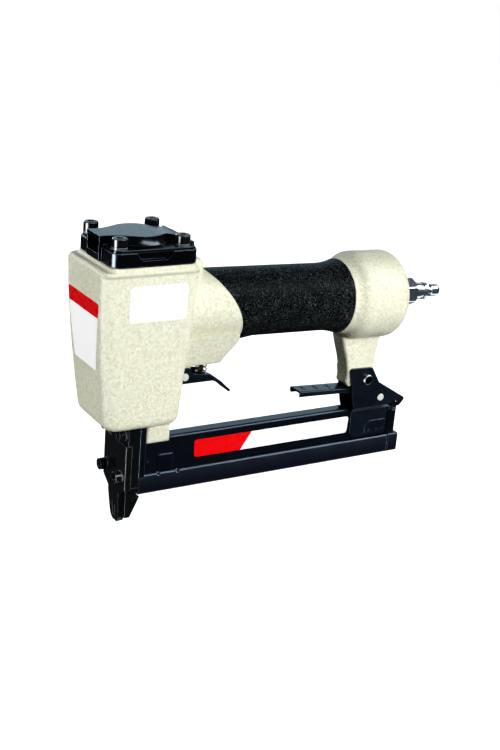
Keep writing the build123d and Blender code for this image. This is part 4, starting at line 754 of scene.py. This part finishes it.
# %% Surfaces that carry stickers
MM = 0.001
HEAD_LEVELS = np.array([67.0, 104.0, 140.0, 162.0])
HEAD_FRONT = np.array([23.2, 27.7, 30.4, 30.9])
HEAD_HALF_WIDTH = np.array([24.3, 25.35, 26.1, 26.55])
HEAD_CORNER = np.array([9.5, 8.0, 6.5, 6.0])
CUBIC = 3
MAGAZINE_HALF_WIDTH = 4.8
front_curve = np.polyfit(HEAD_LEVELS, HEAD_FRONT, CUBIC)
width_curve = np.polyfit(HEAD_LEVELS, HEAD_HALF_WIDTH, CUBIC)


def round_drop(across, half, z):
    """How far a rounded corner falls back, at a distance across from the middle of a face."""
    corner = np.interp(z, HEAD_LEVELS, HEAD_CORNER)
    beyond = np.clip(np.abs(across) - (half - corner), 0.0, corner)
    return corner - np.sqrt(corner**2 - beyond**2)


def near_side(across, z, lift):
    """Point on the head's near side, lifted off it."""
    return np.stack([across, -(np.polyval(width_curve, z) + lift), z], axis=-1)


def front_side(across, z, lift):
    """Point on the head's front, less the corner's drop, lifted off it."""
    half = np.polyval(width_curve, z)
    front = np.polyval(front_curve, z) - round_drop(across, half, z)
    return np.stack([-(front + lift), across, z], axis=-1)


def magazine_side(across, z, lift):
    """Point on the magazine's near wall, lifted off it."""
    return np.stack([across, -MAGAZINE_HALF_WIDTH - lift, z], axis=-1)


print("head's front at 120 mm", np.polyval(front_curve, 120.0).round(2), "mm ahead of the driver")

# %% [markdown]
# ## Sticker shells
# Each sticker is 0.12 mm thick over the surface and reaches a little into it, so no gap shows below it. The
# rings stand close together near the rim, where the film's edge rounds over. The front sticker is wider
# above than below, as the head is.

# %% Sticker shells
FILM = 0.12
SUNK = 0.03
RIM_POINTS = 160
FACE_SHARES = [0.02, 0.25, 0.5, 0.75, 0.93, 0.99, 1.0]
FACE_LIFTS = [1.0, 1.0, 1.0, 1.0, 1.0, 0.95, 0.6]
BACK_SHARES = [1.0, 0.75, 0.5, 0.25, 0.02]


def sticker(name, carrier, middle, size, radius, taper=0.0):
    """A thin closed sheet: rings shrink from the outline to the middle, above and below the surface.

    Across, the outline is widened by the taper times the height over the middle, as a trapezium is.
    """
    outline = rounded_outline(size[0], size[1], radius, RIM_POINTS)
    outline[:, 0] *= 1.0 + taper * outline[:, 1] / size[1]
    share = np.array(FACE_SHARES + BACK_SHARES)
    lift = np.concatenate([np.array(FACE_LIFTS) * FILM, np.full(len(BACK_SHARES), -SUNK)])
    across = middle[0] + share[:, None] * outline[None, :, 0]
    z = middle[1] + share[:, None] * outline[None, :, 1]
    return capped_shell(name, carrier(across, z, np.broadcast_to(lift[:, None], across.shape)) * MM)


side_patch = sticker("side_sticker", near_side, middle=(3.1, 143.6), size=(35.4, 20.8), radius=2.6)
front_patch = sticker("front_sticker", front_side, middle=(0.2, 123.8), size=(35.0, 40.6), radius=1.5,
                      taper=0.38)
strip_patch = sticker("magazine_sticker", magazine_side, middle=(100.7, 41.4), size=(113.6, 11.5),
                      radius=1.6, taper=0.01)
print("stickers", [len(piece.data.polygons) for piece in (side_patch, front_patch, strip_patch)])

# %% [markdown]
# ## Sticker print
# A sticker is gloss film over print. The print is only fields of colour: a white side sticker, a white
# front sticker with a red head, and a strip that is red in front and white behind, parted by a slanted
# line. Each field is a step on Object coordinates, which a Math node set to Greater Than gives, so the
# edges stay sharp at any zoom. On the front, a weak emission in the white field is painted light: it makes
# the white glow brighter than any white that the lamps light.

# %% Sticker print
WHITE = (0.93, 0.93, 0.93)
YELLOWED = (0.915, 0.915, 0.90)
# The grey below is the colour of the painted glow in the front sticker's white field.
PAINTED_GLOW_WHITE = (0.20, 0.20, 0.205)
DARK = (0.0, 0.0, 0.0)
RED = (0.76, 0.010, 0.015)


def film(name):
    """Gloss sticker film with faint scuffs; returns its material and its shader."""
    material, shader = new_finish(name)
    scuff = grain(material, scale=180.0, detail=4.0)
    join(material, ramp(material, scuff, (0.3, 0.22), (0.7, 0.36)), shader.inputs["Roughness"])
    shader.inputs["Specular IOR Level"].default_value = 0.2
    join(material, bump(material, scuff, depth=0.00004, strength=0.25), shader.inputs["Normal"])
    return material, shader


def past(material, value, limit):
    """1 where a coordinate is over a limit, given in millimetres."""
    node = add(material, "ShaderNodeMath", operation="GREATER_THAN")
    join(material, value, node.inputs[0])
    node.inputs[1].default_value = limit * MM
    return node.outputs["Value"]


print("print tones", {"white": WHITE, "red": RED})

# %% Side sticker
side_film, shader = film("side_film")
age = grain(side_film, scale=90.0, detail=3.0)
join(side_film, ramp(side_film, age, (0.35, YELLOWED), (0.65, WHITE)), shader.inputs["Base Color"])
side_patch.data.materials.append(side_film)
print(side_film.name, "on", side_patch.name)

# %% Front sticker
RED_HEAD_Z = 135.6

front_film, shader = film("front_film")
_, _, z = coordinates(front_film)
red_head = past(front_film, z, RED_HEAD_Z)
join(front_film, blend(front_film, red_head, WHITE, RED), shader.inputs["Base Color"])
# Painted light: the white field glows by emission.
join(front_film, blend(front_film, red_head, PAINTED_GLOW_WHITE, DARK), shader.inputs["Emission Color"])
shader.inputs["Emission Strength"].default_value = 1.0
front_patch.data.materials.append(front_film)
print(front_film.name, "on", front_patch.name)

# %% Magazine strip
SLANT = -0.655
SLANT_FOOT_X = 53.3

strip_film, shader = film("strip_film")
x, _, z = coordinates(strip_film)
slant = add(strip_film, "ShaderNodeMath", operation="MULTIPLY_ADD")
join(strip_film, z, slant.inputs[0])
slant.inputs[1].default_value = SLANT
join(strip_film, x, slant.inputs[2])
white_end = past(strip_film, slant.outputs["Value"], SLANT_FOOT_X)
join(strip_film, blend(strip_film, white_end, RED, WHITE), shader.inputs["Base Color"])
strip_patch.data.materials.append(strip_film)
print(strip_film.name, "on", strip_patch.name)

# %% [markdown]
# ## Bodies
# The stapler moves in poses, and a piece that isn't in the CAD model has to be told what it moves with.
# All three stickers are stuck to the frame, which stands still.

# %% Bodies
for piece in (side_patch, front_patch, strip_patch):
    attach(piece, "frame")
print("stickers ride on the frame")
